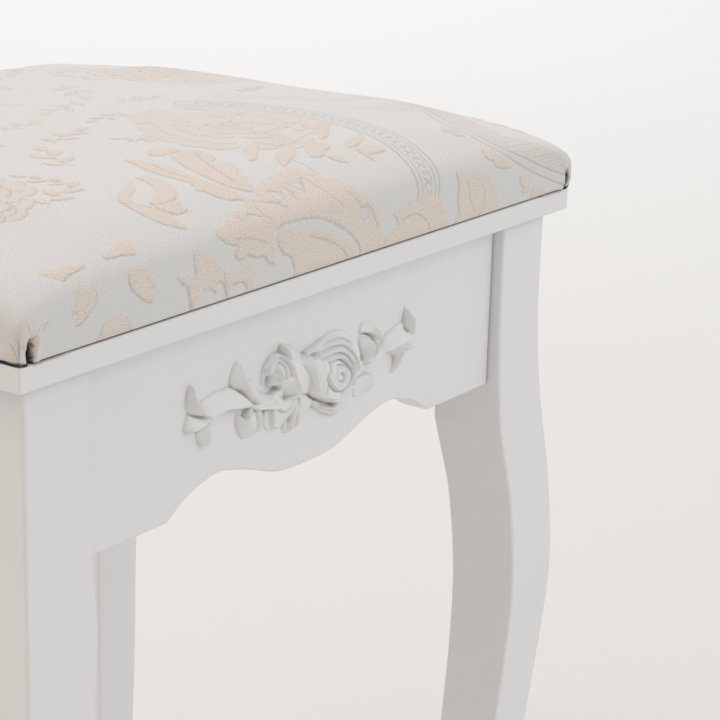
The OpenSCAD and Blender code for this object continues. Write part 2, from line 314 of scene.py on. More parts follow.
def add_aprons(material):
    thickness = APRON_HIGH.y - APRON_LOW.y
    half_long = APRON_HIGH.x
    half_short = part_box("left_apron")[1].y
    shrink = half_short / (LEG_X - LEG_BLOCK)
    face_y = LEG_Y - APRON_SETBACK
    face_x = LEG_X - APRON_SETBACK
    add_apron("front_apron", half_long, thickness, (0, -face_y, 0), 0, 1, material)
    add_apron("rear_apron", half_long, thickness, (0, face_y, 0), math.pi, 1, material)
    add_apron("left_apron", half_short, thickness, (-face_x, 0, 0), -math.pi / 2, shrink, material)
    add_apron("right_apron", half_short, thickness, (face_x, 0, 0), math.pi / 2, shrink, material)


def add_board(material):
    lo, hi = BOARD_LOW, BOARD_HIGH
    points = [(x, y, z) for z in (lo.z, hi.z) for x, y in
              ((lo.x, lo.y), (hi.x, lo.y), (hi.x, hi.y), (lo.x, hi.y))]
    faces = [(3, 2, 1, 0), (4, 5, 6, 7), (0, 1, 5, 4), (1, 2, 6, 5), (2, 3, 7, 6), (3, 0, 4, 7)]
    round_edges(new_piece("seat_board_wood", points, faces, "white_paint", material, "seat_board"))


# ---------------------------------------------------------------- damask design

# Closed outlines woven in cream, in mm on the flat cloth from its middle: x to the right and y to
# the back. The front edge of the crown is near y = -166, and the hem turns under at y = -176.
LEAVES = {
    "scroll": [
        (-73, -147), (-72, -144.5), (-70, -143), (-67, -143.6), (-64, -142), (-60, -140.5),
        (-58, -141), (-55, -138), (-52, -137), (-48.5, -137.6), (-45, -136), (-41.5, -132.5),
        (-38.5, -131), (-36.5, -134), (-33, -134), (-30, -130), (-26, -127), (-22.5, -127.2),
        (-19.5, -124.5), (-16, -126), (-12, -122.8), (-8.5, -123.5), (-5, -121), (-1, -121.6),
        (3, -120), (7, -122.5), (9, -126), (12, -128), (10.5, -131.5), (14, -134), (17.5, -135.5),
        (18, -138.5), (20, -142), (18.6, -144.5), (21.5, -147), (21.5, -151), (25, -153.5),
        (27.5, -158), (29.5, -163), (30.5, -169), (31, -177), (18, -177), (14, -169), (11, -165),
        (6, -161), (0, -157.5), (-5, -155), (-12, -152), (-20, -150.5), (-30, -150), (-38, -150.5),
        (-41.5, -153), (-42.3, -157.5), (-42.8, -164), (-47, -163), (-50, -160), (-55, -159.5),
        (-60, -157.5), (-63.5, -158.5), (-66.5, -158), (-67.5, -155.5), (-65, -153), (-70, -151)],
    "scroll_under": [
        (-41, -156), (-38, -152.5), (-30, -153.5), (-24, -155.5), (-14, -156.5), (-8, -159),
        (0, -162.5), (6, -166), (10, -170), (13, -177), (-26, -177), (-29.5, -171), (-31, -167),
        (-33, -163.5), (-38, -161)],
    "tulip_drop": [
        (-90, -112), (-91.5, -119), (-92, -126), (-90.5, -132), (-87.5, -136), (-84, -138.8),
        (-81.8, -137), (-82.5, -132), (-80.5, -127), (-82, -121), (-85, -116), (-88, -111.5)],
    "tulip_bud": [
        (-81, -120.5), (-80.5, -126.5), (-78, -129.5), (-74, -129.8), (-70.5, -127.8),
        (-71, -125.5),
        (-69, -122.5), (-72.5, -120)],
    "tulip_right": [
        (-59, -92), (-61, -98), (-64, -105), (-69, -110.5), (-74, -114.5), (-80, -117.5),
        (-80, -120.2), (-71, -120.3), (-64.5, -118), (-59, -112), (-55.5, -105), (-54.5, -97)],
    "tulip_left": [
        (-90, -112), (-87, -107), (-79, -101), (-70, -96), (-64, -93), (-67, -98), (-74, -104.5),
        (-80, -107.5), (-84, -111), (-86.5, -114)],
    "long_leaf": [
        (-41, -71), (-44, -79), (-47.5, -88), (-49, -96), (-49.2, -104), (-48.5, -111.5),
        (-45, -114),
        (-41.5, -111), (-39.8, -104), (-37.5, -95), (-35.5, -86), (-36, -78), (-37.5, -72)],
    "long_leaf_foot": [
        (-48.5, -111.5), (-51, -116), (-53.5, -118), (-51.5, -121), (-50.5, -126), (-47.5, -130),
        (-44, -131.5), (-40.5, -132), (-38.8, -127), (-39.5, -120), (-41, -114), (-44.5, -111)],
    "broad_leaf": [
        (-16, -77), (-22, -79), (-27, -86), (-31, -93), (-34.5, -101), (-37, -109), (-38, -116),
        (-37.3, -122), (-35, -126.5), (-32, -129), (-28.5, -127), (-25.5, -122.5), (-22, -118),
        (-22.5, -114.5), (-16, -109.5), (-13, -104), (-18, -101), (-19, -98), (-13, -95), (-8, -89),
        (-9.5, -86), (-6, -82), (-11, -77)],
    "broad_leaf_top": [
        (-26, -76), (-27, -71), (-21, -67), (-13, -68), (-10, -73), (-14, -76.5), (-20, -76.5)],
    "oak_leaf": [
        (-101.5, -157.5), (-97, -159), (-92, -159.5), (-91.5, -155), (-90, -150.5), (-86.5, -149.5),
        (-84.5, -152), (-80, -155), (-77, -158.5), (-74.5, -161.5), (-68, -162.5), (-62, -161.5),
        (-57.5, -162.5), (-55.5, -166), (-56.5, -170), (-54.5, -177), (-60, -177), (-61, -170),
        (-64.5, -167.5), (-69.5, -168), (-71.5, -171), (-71, -177), (-73, -172), (-75, -166.5),
        (-78, -164.5), (-79, -169), (-81.5, -167), (-86, -166), (-89, -168), (-90, -172),
        (-91, -177),
        (-93.5, -174), (-95.5, -168), (-96.5, -163), (-99.5, -160.5)],
    "oval_leaf": [
        (-124.5, -148.5), (-128, -152), (-127.5, -156.5), (-124, -160), (-120, -163),
        (-116.5, -164),
        (-116, -161), (-117.5, -159), (-114, -157), (-117.5, -153.5), (-118, -150), (-121, -148)],
    "left_sliver": [(-113.5, -135), (-121, -136), (-129, -138), (-131, -141), (-122, -142),
        (-117.5, -143)],
    "left_hem": [(-131, -167), (-136, -165), (-143, -167), (-145, -177), (-128, -177)],
    "leaf_a": [(-4, -106), (4, -98), (11, -91), (19, -88), (17, -94), (9, -100), (2, -105)],
    "leaf_b": [
        (3, -118), (8, -111), (14, -106), (24, -103), (28, -100), (27, -106), (20, -111),
        (12, -115)],
    "leaf_c": [
        (24, -117), (29, -110), (36, -105), (42, -103), (46, -107), (44, -112), (36, -115),
        (29, -118.5)],
    "leaf_d": [(31, -120), (35, -119), (37.5, -123), (35.5, -127.5), (32, -125.5)],
    "leaf_e": [
        (52, -120), (56, -118.5), (62, -119), (65.5, -122), (64.5, -126), (58, -126.5),
        (53, -126.5),
        (50, -131), (50, -125)],
    "leaf_f": [
        (50, -117), (54, -112), (60, -109), (67, -109), (74, -106), (70, -111), (62, -115),
        (56, -117)],
    "leaf_g": [
        (50, -102), (56, -97), (63, -92), (70, -86), (79, -82), (80, -86), (73, -90), (66, -95),
        (60, -99), (54, -102)],
    "leaf_h": [(24, -98), (30, -92), (38, -86), (43, -83), (42, -88), (35, -94), (30, -98)],
    "front_a": [
        (38, -159), (41, -160), (44, -158), (48, -158.5), (51, -156), (55, -157), (59, -155),
        (63, -155), (68, -157), (72, -158.5), (75.5, -161), (77, -165), (79, -169), (79, -177),
        (30, -177), (31.5, -171), (35, -167.5), (40, -165.5), (41.5, -163)],
    "front_b": [
        (88, -157), (88.5, -152), (90, -149), (93, -148.5), (95, -150.5), (98, -152.5),
        (99.6, -153.4),
        (101, -152.8), (104, -151.5), (107, -153.5), (111, -154.5), (114, -158),
        (118, -161), (119, -165), (121, -169), (119, -177), (88, -177), (86.5, -172), (88.5, -168),
        (87, -162)],
    "front_c": [
        (118, -143), (121, -139.5), (125.5, -141), (127, -145.5), (130, -149.5), (131, -154),
        (125, -153.5), (119.5, -151.5), (120.5, -149), (117, -147.5)],
    "front_d": [
        (139, -160), (142, -158.5), (145.5, -159.5), (149, -162), (147.5, -165), (146, -168.5),
        (141, -168), (141.5, -165), (138.5, -164)],
    "front_e": [(150, -169), (155, -167), (160, -168.5), (162, -171.5), (166, -172), (168, -177),
        (152, -177)],
    "corner_leaf": [
        (116, -122), (119, -118.5), (124, -117), (130, -112), (134, -110), (131, -115), (128, -120),
        (124, -124.5), (122, -129), (118, -128), (119, -125)],
}
# Fainter leaves in the half-tone weave.
FAINT_LEAVES = {
    "leaf_i": [(40, -90), (43, -84), (50, -83), (57, -80), (52, -88), (46, -94), (40, -97)],
    "side_leaf": [
        (112, -22), (118, -32), (127, -42), (138, -50), (150, -55), (158, -66), (160, -78),
        (154, -70), (144, -64), (132, -60), (120, -52), (112, -40), (108, -30)],
    "side_leaf_low": [
        (118, -66), (126, -70), (136, -72), (144, -78), (148, -90), (140, -86), (130, -82),
        (120, -76)],
    "side_bud": [(96, -8), (104, -12), (108, -20), (104, -26), (96, -24), (91, -16)],
}
# Small gaps where the ground shows between the lobes.
GAPS = [
    [(-26.5, -134), (-24, -132), (-21, -135), (-22, -138), (-25.5, -137)],
    [(-17.5, -132), (-15, -132), (-14, -135.5), (-16.5, -139), (-18, -136)],
    [(-8, -130), (-5.5, -131), (-3, -132.5), (-5.5, -136), (-7.6, -135)],
    [(15.2, -153.2), (19, -153.6), (20.5, -156.5), (16.2, -157.5)],
    [(-49.5, -142), (-46, -142), (-43.5, -144), (-47, -144.5)],
    [(-33, -137.5), (-30, -139), (-28.5, -141.5), (-32, -140.5)]]
# Dark lines inside and between the leaves.
VEINS = [
    [(-38, -134.5), (-34, -137), (-29, -139), (-27.5, -141), (-26, -144)],
    [(-25.5, -135), (-26.8, -140)],
    [(-24, -131), (-21, -133), (-19, -135)],
    [(-13.5, -132), (-16, -137.5), (-17, -141)],
    [(-11, -129), (-9, -134), (-8, -137.5), (-5, -134.5), (-2, -131), (0, -129.3), (2, -129)],
    [(1.5, -129), (1.8, -137), (3, -144), (4.5, -150)],
    [(13, -143.5), (15, -148), (16, -152.5), (21, -153), (24, -158), (27, -163)],
    [(-41, -139), (-41.5, -143), (-39.5, -146.5)],
    [(-50, -141), (-47, -141.3), (-43.5, -144)],
    [(-55, -140), (-54.6, -143.5)],
    [(-66, -150), (-56, -152), (-48, -155)],
    [(-75, -160.6), (-73.7, -168), (-71, -174.6)],
    [(-96, -163), (-94.5, -169), (-91, -175)],
    [(-20, -158), (-10, -161), (0, -166), (6, -172)],
    [(12.8, -114), (13.4, -121), (12.4, -127)],
    [(45, -163), (54, -162), (62, -166), (67, -173)],
    [(95, -155), (97, -163), (101, -170)],
    [(107, -158), (109, -166), (106, -173)],
    [(-31, -120), (-27, -108), (-19, -94), (-12, -84)],
    [(-44, -108), (-44, -96), (-39, -84)],
    [(-87, -116), (-84, -121), (-82, -127), (-79, -130)],
]
# Small sprays where the repeat leaves the ground bare: [x, y, angle in degrees, size].
SPRAYS = [(-57, -48, 60, 1.0), (-24, -22, 15, 0.9), (22, -7, 185, 0.7), (172, -22, 80, 0.9),
          (-60, -10, 170, 0.7), (120, -8, 10, 0.6), (176, -120, 95, 0.8), (-8, -50, 120, 0.5),
          (-100, -88, 20, 0.9), (-86, -70, 100, 0.7)]
RIBBON = [(61, -165), (64.5, -156), (68, -148), (73.5, -137), (78.5, -124), (82, -112), (85, -100),
          (87.5, -86), (89, -70), (88, -55), (85, -40), (79, -26), (70, -14)]
RIBBON_HALF = 7.5
PLUME = [(147, -66), (148, -80), (146, -92), (141.5, -101), (135.5, -109.5), (130, -118),
         (127, -126), (126, -134), (128.5, -143), (135, -151), (146, -157.5), (160, -164),
         (178, -171), (200, -178)]
PLUME_WIDE = 23.0
PEONY = (43, -58, 45)
SMALL_PEONY = (-137, -52, 40)
MIRROR_LINE = -137.0
BEAD_STEP = 5.25
PLUME_LEAST = 7.5
# [reach, petals, petal's half width, turn, tone], lengths as shares of the peony's radius
PEONY_RINGS = [
    (1.0, 12, 0.31, 0.0, 0.53), (0.80, 11, 0.27, 0.5, 0.47), (0.60, 9, 0.24, 0.2, 0.54),
    (0.42, 7, 0.20, 0.6, 0.47), (0.24, 5, 0.15, 0.1, 0.54), (0.07, 3, 0.10, 0.4, 0.62)]
PEONY_PETAL = [
    (-0.25, 0), (0.02, -0.62), (0.38, -0.98), (0.78, -0.80), (0.92, -0.42), (0.84, -0.12),
    (1.0, 0.22), (0.88, 0.66), (0.50, 0.95), (0.08, 0.66)]
SPRAY_STEM = [(-16, -3), (-6, 0), (6, 1), (15, -1)]
SPRAY_LEAF = [(0, 0), (2.5, 2.6), (7, 3.4), (12, 0.6), (8, -1.8), (3, -2)]
# [place along the stem, angle in degrees, size]
SPRAY_LEAVES = [(-12, 50, 0.8), (-7, -48, 0.9), (0, 44, 1.0), (5, -40, 0.9), (14, 0, 0.9)]
# Outlines facing this way, the lower left, are the darkest: painted shade, as if lit from the upper
# right.
SHADED_SIDE = np.array([-0.72, -0.69])


def distance_to(path, x, y):
    """Each point's distance to a path, its side of it (positive on the left) and its place
    along it."""
    best = np.full(len(x), 1e9)
    side = np.ones(len(x))
    along = np.zeros(len(x))
    start = 0.0
    for (ax, ay), (bx, by) in zip(path[:-1], path[1:]):
        dx, dy = bx - ax, by - ay
        size = math.hypot(dx, dy)
        if size < 1e-9:
            continue
        t = np.clip(((x - ax) * dx + (y - ay) * dy) / size ** 2, 0, 1)
        d = np.hypot(x - ax - t * dx, y - ay - t * dy)
        near = d < best
        best[near] = d[near]
        side[near] = np.sign(dx * (y[near] - ay) - dy * (x[near] - ax))
        along[near] = start + t[near] * size
        start += size
    return best, side, along


def inside_outline(path, x, y):
    odd = np.zeros(len(x), bool)
    for (ax, ay), (bx, by) in zip(path, np.roll(path, -1, axis=0)):
        crosses = (ay > y) != (by > y)
        if crosses.any():
            odd ^= crosses & (x < (bx - ax) * (y - ay) / (by - ay + 1e-12) + ax)
    return odd


class Weave:
    """The design at many points of the cloth: how cream it is, and how dark its lines are."""

    def __init__(self, x, y):
        self.x, self.y = x, y
        self.cream = np.zeros(len(x))
        self.line = np.zeros(len(x))

    def cover(self, k, tone, share):
        """Hides what is under a motif, by its share of each point."""
        self.cream[k] += (tone - self.cream[k]) * share
        self.line[k] *= 1 - share

    def darken(self, k, amount):
        self.line[k] = np.maximum(self.line[k], amount)

    def shape(self, outline, tone=1.0, edge=0.95, shaded=True, steps=6, ragged=0.16):
        """A cream patch over whatever is under it. Its edges have a dark line, strongest on the
        lower left, where it is painted shade.
        """
        path = spline(outline, steps, closed=True)
        k = near_path(self.x, self.y, path, 2.0)
        if not len(k):
            return
        x, y = self.x[k], self.y[k]
        loop = np.concatenate([path, path[:1]])
        gap, _, along = distance_to(loop, x, y)
        depth = np.where(inside_outline(path, x, y), gap, -gap)
        fray = np.sin(x * 1.9 + y * 0.8 + np.sin(y * 1.3))
        depth += ragged * (fray + np.sin(y * 2.3 - x * 1.1 + np.sin(x * 1.7)))
        self.cover(k, tone, smooth_step(-0.4, 0.4, depth))
        strength = edge
        # painted shade: the edge line is made darker where it faces the lower left
        if shaded:
            step = np.diff(loop, axis=0)
            size = np.hypot(step[:, 0], step[:, 1])
            turn = np.sign(np.sum(loop[:-1, 0] * loop[1:, 1] - loop[1:, 0] * loop[:-1, 1]))
            outward = np.stack([step[:, 1], -step[:, 0]], 1) * turn
            outward /= np.maximum(size, 1e-9)[:, None]
            facing = np.clip(outward @ SHADED_SIDE * 1.3 + 0.25, 0.08, 1)
            ends = np.concatenate([[0], np.cumsum(size)])
            middle = 0.5 * (ends[:-1] + ends[1:])
            strength = edge * np.interp(along, middle, facing)
        self.darken(k, strength * bell(depth + 0.1, 0.36))

    def stroke(self, points, strength=0.75, width=0.42):
        path = spline(points, 6)
        k = near_path(self.x, self.y, path, 1.5)
        if len(k):
            gap, _, _ = distance_to(path, self.x[k], self.y[k])
            self.darken(k, strength * bell(gap, width))

    def ribbon(self):
        """A band of beads between double lines."""
        path = spline(RIBBON, 6)
        k = near_path(self.x, self.y, path, RIBBON_HALF + 2)
        gap, side, along = distance_to(path, self.x[k], self.y[k])
        across = gap * side
        cover = smooth_step(RIBBON_HALF + 0.3, RIBBON_HALF - 0.3, gap)
        self.cover(k, 0.30, cover)
        lines = bell(gap - RIBBON_HALF, 0.5) + 0.8 * bell(gap - RIBBON_HALF + 3.0, 0.45)
        wave = 2.6 * np.sin(along * 2 * math.pi / (2 * BEAD_STEP))
        vine = 0.75 * bell(across - wave, 0.5)
        bead = np.hypot(across + wave * 0.75, (along + 2.6) % BEAD_STEP - BEAD_STEP / 2)
        filling = np.maximum(vine, 0.7 * bell(bead - 1.35, 0.45)) * (gap < RIBBON_HALF - 3.2)
        self.darken(k, np.clip(np.maximum(lines, filling), 0, 1))
        self.cream[k] = np.where(bead < 1.4, np.maximum(self.cream[k], 0.85 * cover), self.cream[k])

    def plume(self):
        """The double-edged plume that curls round the front corner, with combed barbs."""
        path = spline(PLUME, 6)
        k = near_path(self.x, self.y, path, PLUME_WIDE + 3)
        gap, side, along = distance_to(path, self.x[k], self.y[k])
        across = gap * side
        end_fade = smooth_step(0, 12, along)
        fullness = np.sin(np.clip(along / 150, 0, 1) * math.pi) ** 0.7
        wide = PLUME_LEAST + (PLUME_WIDE - PLUME_LEAST) * fullness
        cover = smooth_step(-0.4, 0.4, across) * smooth_step(wide + 0.4, wide - 0.4, across)
        cover *= end_fade
        rope = np.abs((0.91 * across - 0.42 * along) % 4.2 - 2.1)
        tone = np.where(across < 5.0, 0.12, 0.22 + 0.5 * smooth_step(0.9, 1.5, rope))
        self.cover(k, tone, cover)
        lines = sum(h * bell(across - c, 0.5) for c, h in ((0, 1.0), (5.0, 1.0), (2.5, 0.25)))
        beaded = 0.55 + 0.45 * np.sin(along * 2 * math.pi / 2.2)
        barbs = 0.8 * bell(rope - 0.9, 0.4) * smooth_step(6.4, 7.4, across) * cover * beaded
        hem = 0.5 * bell(across - wide, 0.5) * (across > 0)
        self.darken(k, np.clip(np.maximum(lines, hem) * end_fade, 0, 1))
        self.darken(k, barbs)

    def peony(self, cx, cy, radius):
        """Rings of ruffled petals, the outer ones first."""
        for reach, count, wide, phase, tone in PEONY_RINGS:
            half = radius * wide
            for n in range(count):
                angle = 2 * math.pi * (n + phase) / count + 0.16 * math.sin(3.7 * n + reach * 9)
                far = radius * reach * (1 + 0.10 * math.sin(5.1 * n + reach * 4))
                mid = far - half * 0.9
                at = cx, cy, math.cos(angle), math.sin(angle)
                outline = [(mid + u * half, v * half) for u, v in PEONY_PETAL]
                self.shape(turned(outline, *at), tone, 1.0, True, 4, 0.2)
                rib = [(mid + 0.1 * half, 0.25 * half), (mid + 0.6 * half, 0.3 * half)]
                self.stroke(turned(rib, *at), 0.3, 0.4)

    def spray(self, cx, cy, degrees, size):
        """A stem with five leaves."""
        angle = math.radians(degrees)
        at = cx, cy, math.cos(angle) * size, math.sin(angle) * size
        self.stroke(turned(SPRAY_STEM, *at), 0.6, 0.5)
        for along, degrees, scale in SPRAY_LEAVES:
            angle = math.radians(degrees)
            leaf = turned(SPRAY_LEAF, along, 0, math.cos(angle) * scale, math.sin(angle) * scale)
            self.shape(turned(leaf, *at))

    def draw(self):
        self.peony(*PEONY)
        self.peony(*SMALL_PEONY)
        self.ribbon()
        self.plume()
        for spot in SPRAYS:
            self.spray(*spot)
        for outline in FAINT_LEAVES.values():
            self.shape(outline, 0.45, 0.4)
        for outline in LEAVES.values():
            self.shape(outline)
        for outline in GAPS:
            self.shape(outline, 0.0, 0.45, False, 4, 0.15)
        for points in VEINS:
            self.stroke(points)


def damask(x, y):
    """The design over the whole cloth: drawn once as seen from the front right, mirrored to the
    left, and turned half round for the back."""
    flipped = y > 0
    u, v = np.where(flipped, -x, x), np.where(flipped, -y, y)
    cream, line = np.zeros(len(x)), np.zeros(len(x))
    for mirrored_copy in (True, False):
        weave = Weave(2 * MIRROR_LINE - u if mirrored_copy else u, v)
        weave.draw()
        cream = np.maximum(cream, weave.cream)
        line = np.maximum(line, weave.line)
    return cream, line


# ---------------------------------------------------------------- cushion

CUSHION_LOW, CUSHION_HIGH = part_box("cushion_cover")
PROUD = 1.5 * MM
HALF_X = CUSHION_HIGH.x + PROUD
HALF_Y = CUSHION_HIGH.y + PROUD
PLAN_RADIUS = 3 * MM
RIM_HEIGHT = 10 * MM
SWELL = 3 * MM
DIMPLE = 0.2 * MM
CROWN_RISE = CUSHION_HIGH.z - BOARD_HIGH.z - RIM_HEIGHT - SWELL
CROWN_POWER = 3.9
CROWN_SOFTNESS = 0.225
CELL = 5 * MM
FINER_LEVELS = 3
# About how far the cloth runs over the crown from its middle to the rim.
CLOTH_REACH_X = 200 * MM
CLOTH_REACH_Y = 163 * MM
# The rows under the rim: [share of the way down the edge, mm turned in under the panel, mm above
# the hem].
HEM_ROWS = [
    (0.5, 0.0, 0), (1.0, 0.4, 0), (1.0, 4.0, 0), (1.0, 12.0, 0), (1.0, 26.0, 0), (1.0, 27.0, 0.6)]
INFLATE_FRAMES = 20
# The folds near the corners, in mm.
SLIT_PLACE = 5.2
SLIT_HALF = 1.3
SLIT_DEPTH = 7.5
LIP_RISE = 0.5
PUCKER_RISE = 1.3
PUCKER_HEIGHT = 11.6
HEM_DROP = 1.6
# How far the cream motifs stand up, and how deep the dark lines lie, in mm.
MOTIF_RISE = 0.26
LINE_DEPTH = 0.22
# where the wadding is a little fuller or thinner: [x, y, reach, height], all mm
WADDING = [
    (156, -72, 24, 1.3), (160, 100, 40, -0.8), (-150, -60, 40, -1.1), (-152, 70, 38, 1.2),
    (20, -96, 60, 0.9), (-40, 100, 55, -0.8), (174, -112, 16, 0.7)]


def mirrored(values, sign):
    return np.concatenate([sign * values[:0:-1], values])


def crown_profile(half, count):
    """Where 2 * count + 1 evenly spaced lines of the cloth lie from rim to rim.

    Returns their distance from the middle, their share of the crown's rise, and their place on
    the flat cloth."""
    angle = np.linspace(0, math.pi / 2, 4000)
    x = np.sin(angle)
    share = np.clip(1 - x ** CROWN_POWER, 0, 1) ** CROWN_SOFTNESS
    steps = np.hypot(np.diff(x * half), np.diff(share * CROWN_RISE))
    length = np.concatenate([[0], np.cumsum(steps)])
    even = np.linspace(0, length[-1], count + 1)
    place, rise = np.interp(even, length, x * half), np.interp(even, length, share)
    return mirrored(place, -1), mirrored(rise, 1), mirrored(even, -1)


def round_plan_corner(x, y):
    """Turns the plan's square corners into quarter circles."""
    flat_x, flat_y = HALF_X - PLAN_RADIUS, HALF_Y - PLAN_RADIUS
    sx = np.clip((np.abs(x) - flat_x) / PLAN_RADIUS, 0, 1)
    sy = np.clip((np.abs(y) - flat_y) / PLAN_RADIUS, 0, 1)
    new_x = np.minimum(np.abs(x), flat_x) + PLAN_RADIUS * sx * np.sqrt(1 - sy ** 2 / 2)
    new_y = np.minimum(np.abs(y), flat_y) + PLAN_RADIUS * sy * np.sqrt(1 - sx ** 2 / 2)
    return np.sign(x) * new_x, np.sign(y) * new_y


def cushion_net():
    """The cover as a net of about 5 mm cells: the crown, the upright edge, the hem turned in
    under it.

    Returns points, faces and each point's place on the flat cloth."""
    px, sx, lx = crown_profile(HALF_X, round(CLOTH_REACH_X / CELL))
    py, sy, ly = crown_profile(HALF_Y, round(CLOTH_REACH_Y / CELL))
    nx, ny = len(px), len(py)
    gx, gy = np.meshgrid(np.arange(nx), np.arange(ny), indexing="ij")
    gx, gy = gx.ravel(), gy.ravel()
    top = np.stack([px[gx], py[gy], BOARD_HIGH.z + RIM_HEIGHT + CROWN_RISE * sx[gx] * sy[gy]], 1)
    cloth = np.stack([lx[gx], ly[gy]], 1)
    faces = []
    for i in range(nx - 1):
        for j in range(ny - 1):
            a = i * ny + j
            faces.append((a, a + ny, a + ny + 1, a + 1))
    loop = [(i, 0) for i in range(nx - 1)] + [(nx - 1, j) for j in range(ny - 1)]
    loop += [(i, ny - 1) for i in range(nx - 1, 0, -1)] + [(0, j) for j in range(ny - 1, 0, -1)]
    ring = [i * ny + j for i, j in loop]
    outward = np.array([(-1 if i == 0 else 1 if i == nx - 1 else 0,
                         -1 if j == 0 else 1 if j == ny - 1 else 0) for i, j in loop], float)
    points, places = [top], [cloth]
    total = len(top)
    previous = ring
    for share, inset, lift in HEM_ROWS:
        row = top[ring]
        row[:, :2] -= outward * inset * MM
        row[:, 2] = row[:, 2] + (CUSHION_LOW.z - row[:, 2]) * share + lift * MM
        points.append(row)
        places.append(cloth[ring] + outward * (share * RIM_HEIGHT + inset * MM))
        current = list(range(total, total + len(ring)))
        total += len(ring)
        for k in range(len(ring)):
            nxt = (k + 1) % len(ring)
            faces.append((previous[k], current[k], current[nxt], previous[nxt]))
        previous = current
    points = np.concatenate(points)
    points[:, 0], points[:, 1] = round_plan_corner(points[:, 0], points[:, 1])
    return points, faces, np.concatenate(places)


def inflate(piece, pinned):
    """Blows the cover out under a light pressure with its hem held, and returns the result."""
    group = piece.vertex_groups.new(name="held")
    group.add([int(k) for k in pinned], 1.0, "REPLACE")
    cloth = piece.modifiers.new("cloth", "CLOTH")
    settings = cloth.settings
    settings.vertex_group_mass = "held"
    settings.quality = 6
    settings.mass = 0.3
    settings.tension_stiffness = 60
    settings.compression_stiffness = 60
    settings.bending_stiffness = 12.0
    settings.use_pressure = True
    settings.uniform_pressure_force = 4.0
    settings.effector_weights.gravity = 0
    cloth.collision_settings.use_self_collision = False
    scene = bpy.context.scene
    first, last = scene.frame_start, scene.frame_end
    scene.frame_start, scene.frame_end = 1, 24
    for number in range(1, INFLATE_FRAMES + 1):
        scene.frame_set(number)
    grid = bpy.context.evaluated_depsgraph_get()
    moved = np.array([v.co for v in piece.evaluated_get(grid).data.vertices], float)
    scene.frame_set(1)
    scene.frame_start, scene.frame_end = first, last
    piece.modifiers.remove(cloth)
    piece.vertex_groups.clear()
    return moved


def evened(values, mesh, rounds):
    """Averages each point's value with its neighbours' a few times."""
    ends = np.empty(len(mesh.edges) * 2, np.int32)
    mesh.edges.foreach_get("vertices", ends)
    a, b = ends[0::2], ends[1::2]
    count = np.bincount(ends, minlength=len(values))
    for _ in range(rounds):
        total = np.bincount(a, values[b], len(values)) + np.bincount(b, values[a], len(values))
        values = 0.5 * values + 0.5 * total / count
    return values


def swollen(mesh, rest, moved):
    """Keeps how far the cloth blew outwards, at most SWELL, without its buckles."""
    normals = np.array([n.vector for n in mesh.vertex_normals], float)
    outwards = np.einsum("ij,ij->i", moved - rest, normals)
    held = rest[:, 2] < CUSHION_LOW.z + 1 * MM
    outwards = np.where(held, 0, evened(np.clip(outwards, -DIMPLE, SWELL), mesh, 12))
    return rest + normals * outwards[:, None]


def uneven_wadding(points):
    """Lifts the crown a little where the wadding is fuller."""
    x, y = points[:, 0] / MM, points[:, 1] / MM
    upper = smooth_step(BOARD_HIGH.z + 8 * MM, BOARD_HIGH.z + 22 * MM, points[:, 2])
    lift = 0
    for at_x, at_y, reach, height in WADDING:
        square = (x - at_x) ** 2 + (y - at_y) ** 2
        lift = lift + height * np.exp(-square / (2 * reach * reach))
    points[:, 2] += lift * upper * MM


def folded_corners(points):
    """The cloth's spare corners are tucked under a fold: an upright slit in the long edges, painted
    dark with shade, about 5 mm from each corner, with a small pucker over it. The cloth beyond it
    is tucked in at the bottom. Returns the painted shade each point gets in a slit."""
    x, y, z = (points / MM).T
    shade = np.zeros(len(points))
    above = z - BOARD_HIGH.z / MM
    half_x, half_y = HALF_X / MM, HALF_Y / MM
    for side in (-1, 1):
        for end in (-1, 1):
            near = smooth_step(half_y - 12, half_y - 5, end * y)
            middle = half_x - SLIT_PLACE - 0.05 * np.clip(above - 3, 0, 8) ** 1.6
            middle -= 0.045 * np.clip(6.5 - above, 0, 7) ** 2
            across = side * x - middle
            tall = smooth_step(11.0, 8.0, above)
            slit = np.exp(-(np.abs(across) / SLIT_HALF) ** 3) * tall * near
            lip = bell(across + 3.4, 1.5) * tall * near
            pucker = bell(across + 2.4, 2.0) * bell(above - PUCKER_HEIGHT, 1.7) * near
            pushed = LIP_RISE * lip + PUCKER_RISE * pucker - SLIT_DEPTH * slit
            points[:, 1] += end * pushed * MM
            # painted shade: each slit is darkened inside, below the pucker
            shade = np.maximum(shade, smooth_step(0.01, 0.14, slit) * smooth_step(9.0, 7.0, above))
            beyond = smooth_step(-1.0, 1.5, across) * smooth_step(half_y - 18, half_y - 6, end * y)
            tuck = beyond * smooth_step(5.0, -0.5, above)
            points[:, 0] -= side * 1.3 * tuck * MM
            points[:, 1] -= end * 0.8 * tuck * MM
    return shade


def hem_shade(points):
    """How far under the cover's edge each point is, from 0 to 1, used as painted shade that darkens
    the turned-in hem and lining in the gap over the board.
    """
    inset = np.minimum(HALF_X - np.abs(points[:, 0]), HALF_Y - np.abs(points[:, 1]))
    low = smooth_step(CUSHION_LOW.z + 1.4 * MM, CUSHION_LOW.z + 0.9 * MM, points[:, 2])
    return smooth_step(0.9 * MM, 1.8 * MM, inset) * low


